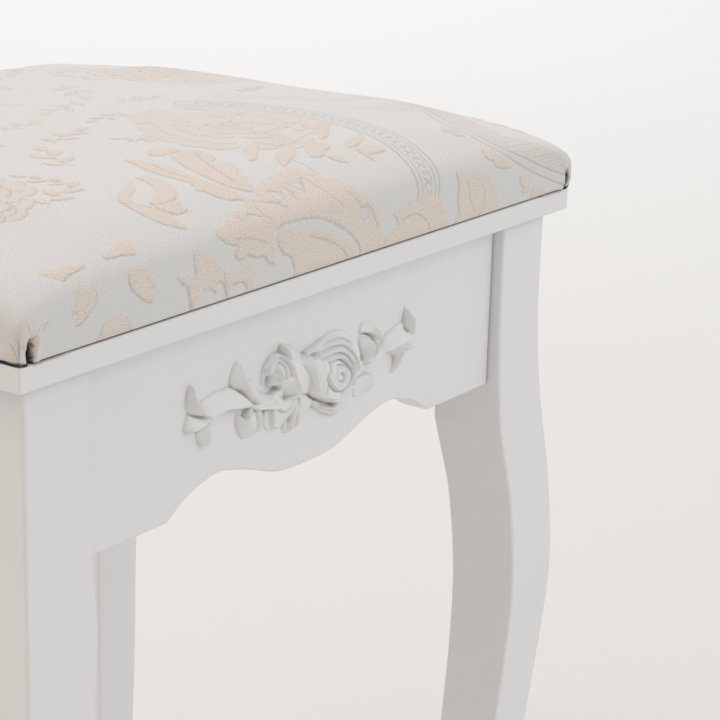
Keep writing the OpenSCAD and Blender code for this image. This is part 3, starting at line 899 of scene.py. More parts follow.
def uneven_hem(points):
    """The turned edge isn't quite straight where the staples pull it, and it comes down to the
    board at the corners."""
    x, y = points[:, 0] / MM, points[:, 1] / MM
    half_x, half_y = HALF_X / MM, HALF_Y / MM
    along = np.where(np.abs(y) > half_y - 6, x, y + 37)
    wave = 0.5 + 0.30 * np.sin(along / 9.1) + 0.22 * np.sin(along / 5.3 + 1.1)
    wave += 0.15 * np.sin(along / 23.0)
    low = smooth_step(CUSHION_LOW.z + 3.5 * MM, CUSHION_LOW.z + 0.2 * MM, points[:, 2])
    edge = np.maximum(np.abs(x) - (half_x - 6), np.abs(y) - (half_y - 6))
    corner = np.minimum(half_x - np.abs(x), 9) + np.minimum(half_y - np.abs(y), 9)
    wave = wave * smooth_step(9, 16, corner) - HEM_DROP * smooth_step(15, 7, corner)
    points[:, 2] += wave * low * np.clip(edge / 6, 0, 1) * 0.66 * MM


def weave_damask(mesh, points, slit_shade):
    """Stores the design and the painted shade of the slits and the hem on the mesh, and raises the
    motifs from the ground.
    """
    cloth = read_rows(mesh.attributes["cloth"].data, "vector", 2)
    cream, line = damask(cloth[:, 0] / MM, cloth[:, 1] / MM)
    store(mesh, "design", "FLOAT2", np.stack([cream, line], 1))
    # painted shade: the corner slits and the hem's underside are darkened through this attribute
    store(mesh, "slit", "FLOAT", np.maximum(slit_shade, hem_shade(points)))
    move_points(mesh, points)
    normals = read_rows(mesh.vertex_normals, "vector", 3)
    shown = smooth_step(CUSHION_LOW.z + 1 * MM, CUSHION_LOW.z + 3 * MM, points[:, 2])
    relief = evened(shown * (MOTIF_RISE * cream - LINE_DEPTH * line), mesh, 2)
    points += normals * (relief * MM)[:, None]


def close_underside(mesh):
    """A flat lining spans the turned-in hem."""
    work = bmesh.new()
    work.from_mesh(mesh)
    bmesh.ops.holes_fill(work, edges=[e for e in work.edges if e.is_boundary], sides=0)
    work.to_mesh(mesh)
    work.free()


def add_cushion(material):
    points, faces, cloth = cushion_net()
    piece = new_piece("cushion", points, faces, "damask", material, "cushion_cover", "cushion_foam")
    pinned = np.where(points[:, 2] < CUSHION_LOW.z + 1 * MM)[0]
    points = swollen(piece.data, points, inflate(piece, pinned))
    uneven_wadding(points)
    move_points(piece.data, points)
    store(piece.data, "cloth", "FLOAT2", cloth)
    finer = piece.modifiers.new("finer", "SUBSURF")
    finer.levels = finer.render_levels = FINER_LEVELS
    finished = piece.evaluated_get(bpy.context.evaluated_depsgraph_get())
    mesh = bpy.data.meshes.new_from_object(finished)
    piece.modifiers.clear()
    piece.data = mesh
    close_underside(mesh)
    fine = read_rows(mesh.vertices, "co", 3).astype(float)
    slit_shade = folded_corners(fine)
    uneven_hem(fine)
    weave_damask(mesh, fine, slit_shade)
    move_points(mesh, fine)


# ---------------------------------------------------------------- rose ornament

# The carving is drawn as the camera sees it on a sheet 5 mm in front of the apron:
# [mm to the right of the middle, mm above the board's underside, mm that it stands proud].
SHEET_PROUD = 5.0
CARVE_CELL = 0.3
RIM_RADIUS = 0.7
SUNK = 0.6
BACK_STEPS = 15
SIGHT_FALL = 0.70
SIGHT_DIP = 0.38
BACK_STEEPER = 1.12
BACK_LEAST = 0.4
SOFTENED_ROUNDS = 2
# how widely, and down to what depth, painted shade fills the carving's hollows
SHADE_HOLLOW_ROUNDS = 90
RECESS_SHADE_DEPTH = 1.4
# A petal's last points shape its middle if they lie at least this far inside its outline.
INNER_LEAST = 3.2
PETALS = [
    # lily on the left: standing, sideways and hanging petals
    [(-71, -39, 3), (-75.5, -33, 6.2), (-78, -28, 5.6), (-80.5, -24, 3.4), (-83.3, -22, 1),
     (-85.3, -26, 0.9), (-85.8, -31, 0.9), (-84, -34.5, 0.9), (-78, -37, 1.6)],
    [(-84.5, -34.8, 1.2), (-86.5, -37.5, 0.9), (-87, -40, 1), (-84, -42.2, 2.8), (-79, -43, 4.6),
     (-73, -41.7, 4.8), (-69, -39.3, 4), (-76, -38, 2.6), (-81, -36, 1.8)],
    [(-79.5, -43, 0.9), (-78.5, -47, 1), (-75, -50, 2.4), (-70, -50, 4.4), (-69.3, -46, 5),
     (-70.5, -42, 4)],
    # broad leaf that waves from the lily to the standing leaf
    [(-77, -31.5, 0.9), (-70, -29.6, 0.9), (-63, -29.3, 1), (-58.5, -30, 2), (-52, -34, 4.2),
     (-46, -38.5, 4.4), (-43.5, -41, 3.6), (-50, -41, 5), (-56, -39.6, 5.6), (-61, -39.3, 5.6),
     (-66, -40.3, 5), (-71, -40.5, 4.2), (-74.5, -37.5, 2.6)],
    # standing leaf and the stem beside it
    [(-42, -41, 3), (-47, -38, 2.6), (-52.5, -33.5, 1.8), (-58.5, -29.8, 0.9), (-58.6, -25, 0.9),
     (-55, -20, 1), (-51.5, -21.5, 2.6), (-48.5, -26, 4.8), (-46.5, -31, 6.4), (-43.5, -36, 6.2),
     (-38, -41, 5.5), (-33, -43, 5)],
    [(-47, -30.5, 6), (-43.5, -31, 0.9), (-39.5, -36, 0.9), (-34, -38.5, 1.4), (-28, -40, 3),
     (-30, -43.5, 5), (-38, -41.2, 5.6), (-43.6, -36, 6.3)],
    # lobes that hang from the stem
    [(-54, -41, 0.9), (-54.8, -46, 0.9), (-53, -50.5, 0.9), (-49.5, -53.5, 1.4), (-44, -53, 3.6),
     (-41.5, -51.5, 4.6), (-42, -46, 5.2), (-43, -41.5, 4.2), (-47.5, -46.5, 4.4)],
    [(-43, -43, 3), (-42.4, -48, 2.4), (-41.5, -52, 2.8), (-38.5, -53.3, 3.8), (-36.3, -50, 5),
     (-37.5, -45.5, 5), (-40, -43, 4)],
    [(-44, -41, 4), (-38, -41.3, 4), (-32, -43, 4.4), (-26, -45, 5), (-24.5, -47, 5.6),
     (-29, -46.8, 6.3), (-34, -45.4, 6.6), (-39, -44.5, 6.2), (-43, -42.5, 5)],
    [(-36.2, -45, 1.6), (-36.9, -50, 0.9), (-35, -53.8, 0.9), (-31, -53.8, 1.4), (-29.8, -50, 1.8),
     (-29.5, -46.5, 2.6)],
    [(-31, -40, 3), (-25, -38.5, 3.6), (-24, -42, 4.4), (-22, -46, 4.8), (-25, -50, 4),
     (-23.5, -53, 2.6),
     (-26, -55, 2.2), (-30, -54, 3), (-30.2, -50, 3.4), (-30.5, -46, 3.6)],
    # leaves that hang under the bud and the rose
    [(-26.5, -47, 4), (-27, -51, 3), (-24, -54, 2.6), (-20, -52, 4.2), (-15, -48, 6),
     (-10.5, -45, 6.6),
     (-18, -44.5, 5), (-23, -45, 4.4)],
    [(-23.5, -53, 1.2), (-24, -57, 1), (-20, -58.7, 2), (-16, -58.2, 4.2), (-14.5, -54, 5),
     (-13, -48, 6),
     (-17, -50, 4.6), (-20.5, -52.5, 2.4)],
    [(-15.5, -58.2, 1), (-12, -57, 2), (-8, -53, 4), (-4, -48.5, 5), (-9, -45.5, 6),
     (-13, -48, 5.6),
     (-15, -53, 3.4)],
    # small bud, its lower petal and its big right petal
    [(-38.2, -34.6, 1), (-38.6, -30, 0.9), (-37, -25.5, 0.9), (-33, -22.5, 0.9), (-27, -23, 2.4),
     (-21, -27, 5.6), (-16, -33, 7.4), (-14, -37, 8.2), (-20, -36.8, 7.4), (-27, -36.4, 5.2),
     (-33, -35.6, 2.6), (-30, -30, 5.4)],
    [(-25.5, -36.4, 6), (-15, -37.3, 8.4), (-12, -42, 7.2), (-10.8, -44.8, 5), (-17, -45.5, 2.4),
     (-23, -43.5, 1.2), (-25, -40, 2.8)],
    [(-22.5, -26.5, 6), (-17.5, -27, 6.2), (-12, -31, 6.2), (-7.5, -36, 6.2), (-5.3, -40, 6),
     (-6.3, -43.5, 5.2), (-9.5, -45, 5), (-12, -42, 7.8), (-14.5, -37, 9.2), (-18, -31, 8.6)],
    # pointed leaf over the bud, folded along its midrib
    [(-27.2, -22.4, 0.9), (-26.3, -19.8, 1), (-22.8, -21, 3.4), (-18.2, -27.5, 7.4),
     (-20, -28.8, 5.6),
     (-24.5, -26, 2)],
    [(-25.4, -19.6, 1.6), (-19, -21.8, 1.4), (-13.5, -26, 1.8), (-9.5, -30, 4), (-11.5, -31.4, 6.2),
     (-17.8, -28.2, 8), (-22.6, -21.3, 4)],
    # the rose: its outer dome, then its petals
    [(-10.5, -27.6, 2), (-7, -25.3, 1), (0, -23.6, 0.9), (8, -21.8, 0.9), (16, -23, 0.9),
     (23, -27, 1.6),
     (28.5, -33.5, 3), (30, -40, 4.4), (28, -47, 4.8), (23.5, -52, 4.6), (19, -57, 3), (10, -58, 2),
     (2, -54, 1.4), (-6, -48, 3), (-6, -42, 5), (-6, -36, 5), (4, -31, 6.4), (18, -33, 6.2),
     (23, -42, 6.6)],
    [(-13, -30.6, 5), (-3.2, -30.2, 7.8), (-0.3, -35.5, 9.6), (2.6, -43, 10.2), (3.4, -49.6, 9),
     (0, -49.2, 7.6), (-7.4, -45.2, 4.6), (-7.5, -41, 5), (-10, -35, 5)],
    [(-6, -30.8, 5.6), (6.6, -33.8, 9), (6.4, -42, 10.2), (4.8, -49.8, 9.2), (1, -49.6, 7.4),
     (-1.6, -43, 7.6), (-4.6, -36, 7)],
    [(2, -35, 7), (14, -35.3, 7.6), (20, -39, 7.2), (23.4, -44, 6.6), (21, -48.5, 7),
     (16, -50.5, 7.8),
     (10, -50.8, 8), (2, -50, 7.4), (2, -42, 7.4), (14, -43, 8.8)],
    [(-6.5, -47.3, 3), (2, -52.6, 4.4), (12, -56.2, 5), (14, -54.6, 5.8), (22, -50.5, 6.4),
     (25, -52.5, 5), (20, -57.2, 3.6), (15, -59.4, 2.6), (8, -58.4, 1.8), (0, -54.4, 1.4),
     (-5.5, -50.4, 1.4)],
    [(3.5, -49.8, 7.4), (10, -50, 8), (17, -50.4, 7.8), (22, -48, 7), (24, -51.5, 6),
     (18, -54.6, 6),
     (12.5, -54.9, 6.4), (6, -52.2, 7)],
    [(20, -40, 5.5), (27, -38, 4.4), (31.5, -40.5, 1.6), (33, -43.5, 1), (30, -45.5, 1.6),
     (24, -48, 4.6)],
    # bud under the rose
    [(25, -49, 0.9), (24.8, -52, 0.9), (26, -55, 0.9), (30, -55.9, 1.2), (34.5, -55.6, 2.6),
     (38, -54.9, 4), (41, -53, 5), (41.9, -50.8, 5), (40, -48.4, 3.6), (36, -46.9, 2.2),
     (31, -46.6, 1.2), (27.5, -47.3, 0.9)],
    # curled leaf: its cupped face, then its outer rim
    [(28.8, -28.6, 0.9), (34, -29.3, 2.2), (39.5, -32.6, 4.6), (42, -37, 6.4), (40.3, -41, 6),
     (34, -42, 3.4),
     (30.5, -38, 1), (29, -34, 0.9)],
    [(29, -24.8, 0.9), (32, -22.8, 0.9), (38, -24.8, 2.2), (44, -28.8, 5.2), (47.2, -34, 6.8),
     (45.5, -38.6, 6.4), (42.5, -41.4, 5.4), (42.6, -36.8, 4.6), (39.4, -31.8, 3.4),
     (34, -28.4, 2.2), (29.3, -27.4, 1.2)],
    # right stem and its lily
    [(44, -36, 0.9), (47, -33, 0.9), (54, -30.5, 0.9), (60.5, -29.5, 1.2), (63, -34, 3),
     (70, -36.5, 4.2),
     (72.5, -38, 4.6), (69, -40.4, 5), (60, -40.4, 5.4), (53, -41, 5), (46, -41.7, 4.8),
     (38, -43, 4.6),
     (38, -40, 4)],
    [(61, -31, 0.9), (62, -26, 0.9), (63.3, -22.8, 1), (66.5, -25, 3.2), (70.5, -28.5, 5.8),
     (73, -33, 6.8),
     (72.2, -37.4, 6.2), (66, -36.4, 3.2), (62, -34.4, 1)],
    [(51.5, -40.8, 1.6), (54.6, -44, 0.9), (54.6, -47.5, 0.9), (53, -50, 0.9), (56, -51.3, 2),
     (61, -49.6, 4.2), (64.4, -46, 6.2), (64.2, -42, 6.4), (62, -40.3, 5.6)],
    [(62.5, -40.3, 4.6), (66, -41, 3.4), (71, -43.2, 1), (67, -43.6, 1), (64, -42.8, 2)],
]
# Raised petal edges, each with the groove on its right side: [height in mm, points].
LIPS = [
    [1.5, (-32.6, -31), (-30.6, -28.9), (-27.8, -29.4), (-26, -32), (-25.6, -34.6)],
    [1.5, (-34.6, -29.4), (-32, -26.4), (-28, -26), (-24, -28.6), (-21.6, -34.4)],
    [1.3, (-35.8, -27), (-32.6, -24.4), (-28, -24), (-22.6, -26.6), (-18.4, -33.8)],
    [1.1, (-30.2, -33), (-29.2, -31.4), (-27.9, -32.2)],
    [1.4, (13.2, -43.4), (14, -41.2), (16.6, -41.2), (18.4, -43.6), (17.4, -46.4), (14.8, -46)],
    [1.7, (7.4, -41), (9.6, -45.6), (14, -48.8), (18.6, -47.6), (20.4, -43.6), (18.2, -40),
     (13.4, -38.8)],
    [2.2, (6.6, -34.2), (14, -34.6), (20, -38), (24.2, -43.6), (22, -48.6), (16.8, -50.4)],
    [1.5, (-1, -31), (6, -31.4), (14, -31.8), (21, -35.2), (26.4, -42.8), (24.6, -49.6)],
    [1.4, (-7.4, -29.2), (2, -28.2), (11, -28), (19, -30.4), (26, -36.4), (28.6, -43)],
    [1.0, (-3, -26.2), (6, -24.8), (15, -25.6), (22.6, -29.6)],
    [1.2, (8, -51.2), (13, -52.6), (18.4, -52), (22.8, -49.8)],
    [1.3, (31, -29.2), (36, -30.4), (40.6, -34), (41.8, -38.2), (39.4, -40.8)],
]
# Dark cuts between the petals: [depth in mm, half width in mm, points].
CUTS = [
    [3.2, 0.6, (-7.4, -46), (3, -50.8), (12.6, -54.8)],
    [1.4, 0.5, (-4, -49.8), (3, -54.4), (10, -57.2)],
    [2.4, 0.5, (29, -27.9), (34, -28.8), (39.4, -32), (42.4, -36.4)],
    [1.6, 0.5, (-84, -34.6), (-78, -37.3), (-71, -39.4)],
    [1.6, 0.5, (-19.4, -52.4), (-20.6, -57.4)],
    [1.4, 0.5, (-14.6, -58), (-14.6, -53.6), (-12.6, -48)],
    [1.4, 0.5, (-27, -47.4), (-22, -49.6), (-16.6, -46.6)],
    [1.6, 0.5, (7, -35.2), (7.2, -42), (5.4, -49.4)],
    [1.6, 0.5, (-56, -41.2), (-50, -42.2), (-44, -41.8)],
    [1.4, 0.5, (-26, -41.6), (-23.4, -43.6), (-18, -45.4), (-11, -45.4)],
    [0.9, 0.5, (-37.2, -34.4), (-37.4, -30), (-36, -26), (-32.6, -23.4)],
    [0.8, 0.5, (-84.6, -33), (-84.6, -27), (-83, -23.4)],
]


def on_apron(points):
    """From the drawing on the sheet to mm along the apron, mm up and mm proud."""
    x, z, proud = np.asarray(points, float).T
    face = APRON_LOW.y / MM
    sheet = face - SHEET_PROUD - EYE[1]
    share = (face - proud - EYE[1]) / sheet
    up = EYE[2] - LEG_TOP / MM
    return np.column_stack([EYE[0] + (x - EYE[0]) * share, up + (z - up) * share, proud])


def thin_plate(known, x, y):
    """The smoothest surface through the known heights [x, y, height], at other places."""
    def kernel(dx, dy):
        square = dx * dx + dy * dy
        return square * np.log(square + 1e-9)
    px, py, height = known.T
    count = len(px)
    plane = np.column_stack([np.ones(count), px, py])
    system = np.zeros((count + 3, count + 3))
    system[:count, :count] = kernel(px[:, None] - px, py[:, None] - py) + 0.5 * np.eye(count)
    system[:count, count:] = plane
    system[count:, :count] = plane.T
    answer = np.linalg.solve(system, np.append(height, [0, 0, 0]))
    flat = answer[count] + answer[count + 1] * x + answer[count + 2] * y
    return flat + kernel(x[:, None] - px, y[:, None] - py) @ answer[:count]


class Carving:
    """Heights in front of the apron on a fine grid."""

    def __init__(self):
        self.xs = np.arange(-88, 84, CARVE_CELL)
        self.zs = np.arange(-64, -16, CARVE_CELL)
        x, z = np.meshgrid(self.xs, self.zs)
        self.x, self.z = x.ravel(), z.ravel()
        self.height = np.full(self.x.size, -SUNK)

    def grid(self):
        return self.height.reshape(len(self.zs), len(self.xs))

    def petal(self, points):
        """A petal with a rounded rim that rises straight from the apron. A last point that lies
        inside the others shapes its middle."""
        known = on_apron(points)
        path = spline(self.rim(known)[:, :2], 5, closed=True)
        near = near_path(self.x, self.z, path, 1.0)
        x, z = self.x[near], self.z[near]
        depth, _, _ = distance_to(np.vstack([path, path[:1]]), x, z)
        depth = np.where(inside_outline(path, x, z), depth, -depth)
        top = np.maximum(thin_plate(known, x, z), RIM_RADIUS)
        short = 1 - np.clip(depth / RIM_RADIUS, 0, 1)
        top -= RIM_RADIUS * (1 - np.sqrt(1 - short ** 2))
        cover = np.clip(0.5 + depth / CARVE_CELL, 0, 1)
        self.height[near] = np.maximum(self.height[near], top * cover - SUNK * (1 - cover))

    @staticmethod
    def rim(known):
        """The points on the outline, without the ones that lie inside it."""
        rim = list(range(len(known)))
        for i in range(len(known) - 1, 5, -1):
            others = [k for k in rim if k != i]
            path = known[others, :2]
            x, z, _ = known[i:i + 1].T
            far = distance_to(np.vstack([path, path[:1]]), x, z)[0]
            if far[0] < INNER_LEAST or not inside_outline(path, x, z)[0]:
                break
            rim = others
        return known[rim]

    def lip(self, rise, points):
        """A raised edge along a line, with a groove beside it."""
        path = self.lifted(points)
        near = near_path(self.x, self.z, path, 3.0)
        far, side, _ = distance_to(path, self.x[near], self.z[near])
        proud = smooth_step(0.0, 2.0, self.height[near])
        crest = bell(far * side - 0.25, 0.55)
        groove = bell(far * side + 0.75, 0.5)
        self.height[near] += rise * proud * (0.75 * crest - 0.95 * groove)

    def cut(self, depth, half_width, points):
        """A rounded groove along a line."""
        path = self.lifted(points)
        near = near_path(self.x, self.z, path, 3.0)
        far, _, _ = distance_to(path, self.x[near], self.z[near])
        height = self.height[near]
        lower = height - depth * bell(far, half_width)
        self.height[near] = np.where(height > 0, np.maximum(lower, 0.3), height)

    @staticmethod
    def cell(places, lines):
        """The numbers of the grid lines nearest to some places."""
        nearest = np.rint((places - lines[0]) / CARVE_CELL).astype(int)
        return np.clip(nearest, 0, len(lines) - 1)

    def lifted(self, points):
        """A line of the drawing, dropped onto the carved surface."""
        points = np.asarray(points, float)
        proud = np.full(len(points), SHEET_PROUD)
        for _ in range(8):
            x, z, _ = on_apron(np.column_stack([points, proud])).T
            column = self.cell(x, self.xs)
            row = self.cell(z, self.zs)
            found = np.clip(self.grid()[row, column], 0, 13)
            proud += 0.5 * (found - proud)
        return spline(on_apron(np.column_stack([points, proud]))[:, :2], 6)

    def backed(self):
        """Slopes down behind each raised edge, just under the camera's line of sight."""
        grid = self.grid()
        filled = grid.copy()
        for step in range(1, BACK_STEPS):
            drop = BACK_STEEPER * step * CARVE_CELL * SIGHT_FALL
            behind = np.roll(grid, (-round(SIGHT_DIP * step), step), (0, 1)) - drop
            filled = np.maximum(filled, np.where(behind > BACK_LEAST, behind, filled))
        return filled.ravel()

    def softened(self, rounds):
        grid = self.grid()
        for _ in range(rounds):
            around = sum(np.roll(grid, step, axis) for axis in (0, 1) for step in (1, -1))
            grid = 0.5 * grid + 0.125 * around
        return grid.ravel()


def add_ornament(material):
    """The rose spray as one carved solid, let slightly into the apron."""
    carved = Carving()
    for points in PETALS:
        carved.petal(points)
    for rise, *points in LIPS:
        carved.lip(rise, points)
    for depth, half_width, *points in CUTS:
        carved.cut(depth, half_width, points)
    carved.height = carved.backed()
    carved.height = carved.softened(SOFTENED_ROUNDS)
    # painted shade: the carving is darkened where it lies lower than its softened surroundings
    recess_shade = (carved.softened(SHADE_HOLLOW_ROUNDS) - carved.height) / RECESS_SHADE_DEPTH
    recess_shade = np.clip(recess_shade, 0, 1)
    wide = len(carved.xs)
    proud = (carved.height > 0.02 - SUNK).reshape(-1, wide)
    cells = proud[:-1, :-1] | proud[1:, :-1] | proud[:-1, 1:] | proud[1:, 1:]
    row, column = np.nonzero(cells)
    first = row * wide + column
    tops = np.column_stack([first, first + 1, first + wide + 1, first + wide])
    count = len(carved.x)
    edges = np.concatenate([tops[:, [k, (k + 1) % 4]] for k in range(4)])
    key = edges[:, 0] * count + edges[:, 1]
    back = edges[:, 1] * count + edges[:, 0]
    rim = edges[~np.isin(key, back)]
    walls = np.column_stack([rim[:, 1], rim[:, 0], rim[:, 0] + count, rim[:, 1] + count])
    faces = np.concatenate([tops, tops[:, ::-1] + count, walls])
    front = APRON_LOW.y - carved.height * MM
    z = LEG_TOP + carved.z * MM
    points = np.concatenate([
        np.column_stack([carved.x * MM, front, z]),
        np.column_stack([carved.x * MM, np.full(count, APRON_LOW.y + 2 * SUNK * MM), z])])
    used, faces = np.unique(faces, return_inverse=True)
    piece = new_piece("rose_carving", points[used], faces.reshape(-1, 4), "ornament", material,
                      "rose_applique")
    store(piece.data, "recess_shade", "FLOAT", np.append(recess_shade, recess_shade)[used])


# ---------------------------------------------------------------- materials

class Surface:
    """A material with its Principled shader, and short ways to add and join nodes."""

    def __init__(self, name, colour, roughness, metallic=0.0):
        self.material = bpy.data.materials.new(name)
        self.material.use_nodes = True
        self.tree = self.material.node_tree
        self.shader = self.tree.nodes["Principled BSDF"]
        self.set("Base Color", colour)
        self.set("Roughness", roughness)
        self.set("Metallic", metallic)

    def set(self, socket, value):
        self.put(self.shader.inputs[socket], value)

    def put(self, socket, value):
        """Joins a node's output to a socket, or sets the socket's own value."""
        if isinstance(value, bpy.types.NodeSocket):
            self.tree.links.new(value, socket)
        elif isinstance(value, tuple) and socket.type == "RGBA":
            socket.default_value = (*value, 1)
        else:
            socket.default_value = value

    def node(self, kind, **settings):
        made = self.tree.nodes.new(kind)
        for key, value in settings.items():
            setattr(made, key, value)
        return made

    def place(self):
        return self.node("ShaderNodeTexCoord").outputs["Object"]

    def attribute(self, name):
        return self.node("ShaderNodeAttribute", attribute_name=name).outputs["Vector"]

    def attribute_value(self, name):
        return self.node("ShaderNodeAttribute", attribute_name=name).outputs["Fac"]

    def parts(self, vector):
        split = self.node("ShaderNodeSeparateXYZ")
        self.put(split.inputs[0], vector)
        return split.outputs

    def math(self, operation, a, b=0.0, clamp=False):
        made = self.node("ShaderNodeMath", operation=operation, use_clamp=clamp)
        self.put(made.inputs[0], a)
        self.put(made.inputs[1], b)
        return made.outputs[0]

    def times(self, a, b, clamp=False):
        return self.math("MULTIPLY", a, b, clamp)

    def stretch(self, vector, scale, turn=(0.0, 0.0, 0.0)):
        made = self.node("ShaderNodeMapping")
        self.put(made.inputs["Vector"], vector)
        made.inputs["Scale"].default_value = scale
        made.inputs["Rotation"].default_value = turn
        return made.outputs[0]

    def noise(self, vector, size, detail=2.0, rough=0.5, distortion=0.0):
        """Noise whose features are about size metres across."""
        made = self.node("ShaderNodeTexNoise")
        self.put(made.inputs["Vector"], vector)
        made.inputs["Scale"].default_value = 1 / size
        made.inputs["Detail"].default_value = detail
        made.inputs["Roughness"].default_value = rough
        made.inputs["Distortion"].default_value = distortion
        return made.outputs["Fac"]

    def span(self, value, low, high, to_low=0.0, to_high=1.0, smooth=False):
        kind = "SMOOTHSTEP" if smooth else "LINEAR"
        made = self.node("ShaderNodeMapRange", interpolation_type=kind)
        for socket, number in zip(made.inputs, (value, low, high, to_low, to_high)):
            self.put(socket, number)
        return made.outputs[0]

    def mix(self, share, a, b):
        made = self.node("ShaderNodeMix", data_type="RGBA")
        self.put(made.inputs["Factor"], share)
        self.put([i for i in made.inputs if i.name == "A" and i.type == "RGBA"][0], a)
        self.put([i for i in made.inputs if i.name == "B" and i.type == "RGBA"][0], b)
        return [o for o in made.outputs if o.type == "RGBA"][0]

    def cloudy(self, place, size, detail, smoothest, roughest):
        """Lets the roughness vary from place to place."""
        clouds = self.noise(place, size, detail)
        self.set("Roughness", self.span(clouds, 0.3, 0.7, smoothest, roughest))

    def bump(self, height, depth, strength):
        """Bumps depth metres deep."""
        made = self.node("ShaderNodeBump")
        made.inputs["Strength"].default_value = strength
        made.inputs["Distance"].default_value = depth
        self.put(made.inputs["Height"], height)
        self.set("Normal", made.outputs[0])


TWILL_ANGLE = math.radians(29)
TWILL_PITCH = 0.95 * MM
PAINT = (0.80, 0.802, 0.836)
PAINT_ROUGHNESS = 0.36


def damask_material():
    """Pale grey-blue twill with motifs in matt cream yarn and dark floats along their edges,
    darkened on the lower left with painted shade. The corner slits and the hem's underside get
    near-black painted shade.
    """
    s = Surface("damask", (0.7, 0.7, 0.7), 0.7)
    cloth = s.attribute("cloth")
    cream, line, _ = s.parts(s.attribute("design"))
    u, v, _ = s.parts(cloth)
    across = s.math("ADD", s.times(u, -math.sin(TWILL_ANGLE) / TWILL_PITCH),
                    s.times(v, math.cos(TWILL_ANGLE) / TWILL_PITCH))
    wobble = s.times(s.noise(cloth, 5 * MM), 1.2)
    ridges = s.math("SINE", s.times(s.math("ADD", across, wobble), 2 * math.pi))
    threads = s.noise(s.stretch(cloth, (1.0, 2.2, 1.0), (0, 0, -TWILL_ANGLE)), 0.9 * MM, 2)
    twill = s.math("ADD", s.times(ridges, 0.20), threads)
    clouds = s.noise(cloth, 28 * MM, 3)
    pale = s.mix(clouds, (0.775, 0.768, 0.790), (0.795, 0.772, 0.770))
    ground = s.mix(s.span(twill, 0.28, 0.72), (0.615, 0.612, 0.640), pale)
    speckle = s.noise(cloth, 0.8 * MM, 3, 0.65)
    blotch = s.noise(cloth, 9 * MM, 3, 0.6)
    warm = s.mix(s.span(blotch, 0.35, 0.65), (0.835, 0.737, 0.702), (0.830, 0.750, 0.690))
    yarn = s.mix(s.span(speckle, 0.30, 0.62), (0.600, 0.520, 0.490), warm)
    frayed = s.math("ADD", cream, s.times(s.math("SUBTRACT", speckle, 0.5), 0.3))
    woven = s.span(frayed, 0.30, 0.62, smooth=True)
    share = s.times(woven, s.span(cream, 0.0, 0.85, 0.45, 1.0))
    colour = s.mix(share, ground, yarn)
    # dark edge lines: woven floats, with painted shade on the motifs' lower-left edges
    dark = s.times(line, s.span(threads, 0.25, 0.7, 0.40, 0.72), clamp=True)
    lined = s.mix(dark, colour, (0.34, 0.33, 0.32))
    # painted shade: near-black in the corner slits and under the hem's edge
    s.set("Base Color", s.mix(s.attribute_value("slit"), lined, (0.035, 0.032, 0.030)))
    s.set("Roughness", s.span(share, 0.0, 1.0, 0.62, 0.88))
    s.set("Sheen Weight", 0.34)
    s.set("Sheen Roughness", 0.45)
    s.set("Specular IOR Level", 0.35)
    weft = s.times(twill, s.span(share, 0, 1, 1.0, 0.2))
    pile = s.times(speckle, s.span(share, 0, 1, 0.3, 2.2))
    s.bump(s.math("ADD", weft, pile), 0.16 * MM, 0.7)
    return s.material


def paint_material():
    """Sprayed lacquer: nearly even, with a faint orange peel."""
    s = Surface("white_paint", PAINT, PAINT_ROUGHNESS)
    place = s.place()
    clouds = s.noise(place, 60 * MM, 3)
    lighter = tuple(min(c * 1.012, 1) for c in PAINT)
    darker = tuple(c * 0.985 for c in PAINT)
    s.set("Base Color", s.mix(clouds, darker, lighter))
    s.cloudy(place, 14 * MM, 3, PAINT_ROUGHNESS - 0.04, PAINT_ROUGHNESS + 0.05)
    s.bump(s.noise(place, 2.6 * MM, 2, 0.45), 0.03 * MM, 0.5)
    return s.material


def carving_material():
    """The same lacquer on moulded wood: a little duller, and greyer in the hollows with painted
    shade.
    """
    s = Surface("ornament", (0.80, 0.80, 0.82), 0.48)
    place = s.place()
    clouds = s.noise(place, 18 * MM, 3)
    tone = s.mix(clouds, (0.785, 0.787, 0.812), (0.815, 0.817, 0.845))
    # painted shade in the hollows of the carving
    hollow_shade = s.times(s.attribute_value("recess_shade"), s.span(clouds, 0.3, 0.7, 0.75, 1.0))
    s.set("Base Color", s.mix(hollow_shade, tone, (0.52, 0.505, 0.48)))
    s.cloudy(place, 9 * MM, 3, 0.44, 0.54)
    s.bump(s.noise(place, 1.6 * MM, 3, 0.5), 0.07 * MM, 0.5)
    return s.material


def wood_material():
    """Unpainted softwood blocks."""
    s = Surface("bare_wood", (0.62, 0.46, 0.29), 0.6)
    place = s.place()
    grain = s.stretch(place, (1.0, 1.0, 0.12), (math.radians(90), 0, math.radians(45)))
    rings = s.noise(grain, 5 * MM, 4, 0.6, 0.6)
    pores = s.noise(grain, 0.9 * MM, 2)
    tone = s.mix(s.span(rings, 0.35, 0.68), (0.66, 0.50, 0.32), (0.50, 0.34, 0.19))
    s.set("Base Color", s.mix(s.span(pores, 0.55, 0.8, 0, 0.35), tone, (0.33, 0.21, 0.11)))
    s.bump(pores, 0.12 * MM, 0.6)
    return s.material


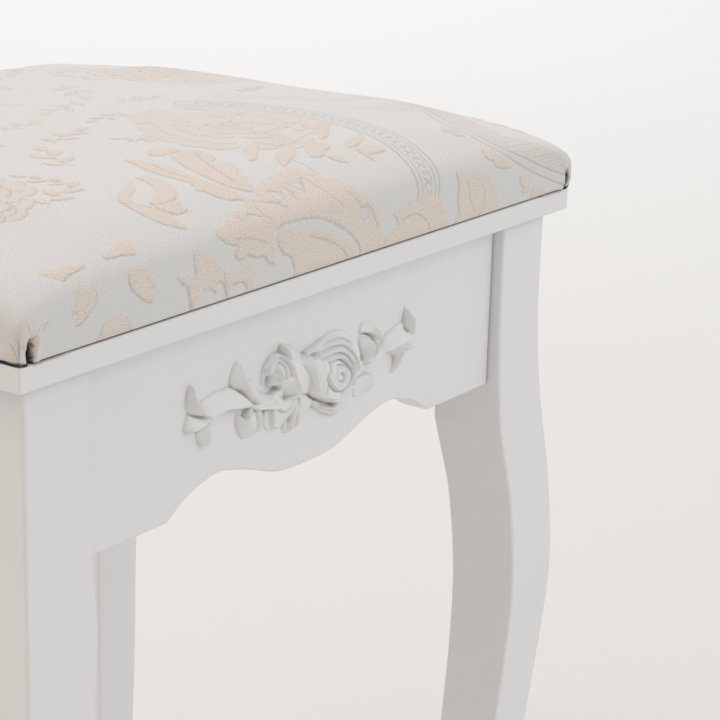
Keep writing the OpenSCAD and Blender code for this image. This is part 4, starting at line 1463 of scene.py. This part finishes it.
def fibreboard_material():
    s = Surface("fibreboard", (0.42, 0.30, 0.19), 0.8)
    place = s.place()
    fibres = s.noise(s.stretch(place, (1.0, 1.4, 1.0)), 1.1 * MM, 4, 0.7)
    s.set("Base Color", s.mix(fibres, (0.30, 0.20, 0.12), (0.56, 0.42, 0.28)))
    s.bump(fibres, 0.08 * MM, 0.5)
    return s.material


def metal_material(name, colour, roughness):
    """Plated steel with a slightly cloudy surface."""
    s = Surface(name, colour, roughness, 1.0)
    place = s.place()
    crystals = s.noise(place, 3 * MM, 3, 0.6)
    s.set("Base Color", s.mix(crystals, tuple(c * 0.82 for c in colour), colour))
    s.cloudy(place, 1.2 * MM, 2, roughness - 0.08, roughness + 0.1)
    s.bump(crystals, 0.02 * MM, 0.4)
    return s.material


def nylon_material():
    s = Surface("glide_plastic", (0.72, 0.715, 0.69), 0.42)
    place = s.place()
    grain = s.noise(place, 0.6 * MM, 2)
    clouds = s.noise(place, 6 * MM, 2)
    s.set("Base Color", s.mix(clouds, (0.70, 0.695, 0.665), (0.74, 0.735, 0.715)))
    s.set("Subsurface Weight", 0.08)
    s.bump(grain, 0.03 * MM, 0.5)
    return s.material


def give(material, *names):
    """Gives carried-over CAD nodes their finish."""
    for name in names:
        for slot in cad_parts[name].material_slots:
            slot.material = material


add_camera()
add_studio()
paint = paint_material()
zinc = metal_material("zinc_steel", (0.66, 0.67, 0.68), 0.34)
brass = metal_material("brass_screws", (0.74, 0.60, 0.33), 0.32)
for side_name in SIDES:
    for end_name in ENDS:
        add_leg(side_name, end_name, paint)
add_aprons(paint)
add_board(paint)
add_ornament(carving_material())
add_cushion(damask_material())
corners = [f"{end}_{side}" for end in ENDS for side in SIDES]
give(wood_material(), *[f"brace_{corner}" for corner in corners])
give(nylon_material(), *[f"glide_{corner}" for corner in corners])
give(fibreboard_material(), "cushion_panel")
give(zinc, "cover_staples", "leg_bolts", "bolt_washers", "wing_nuts")
give(brass, "cushion_screws", "brace_screws", "board_screws")
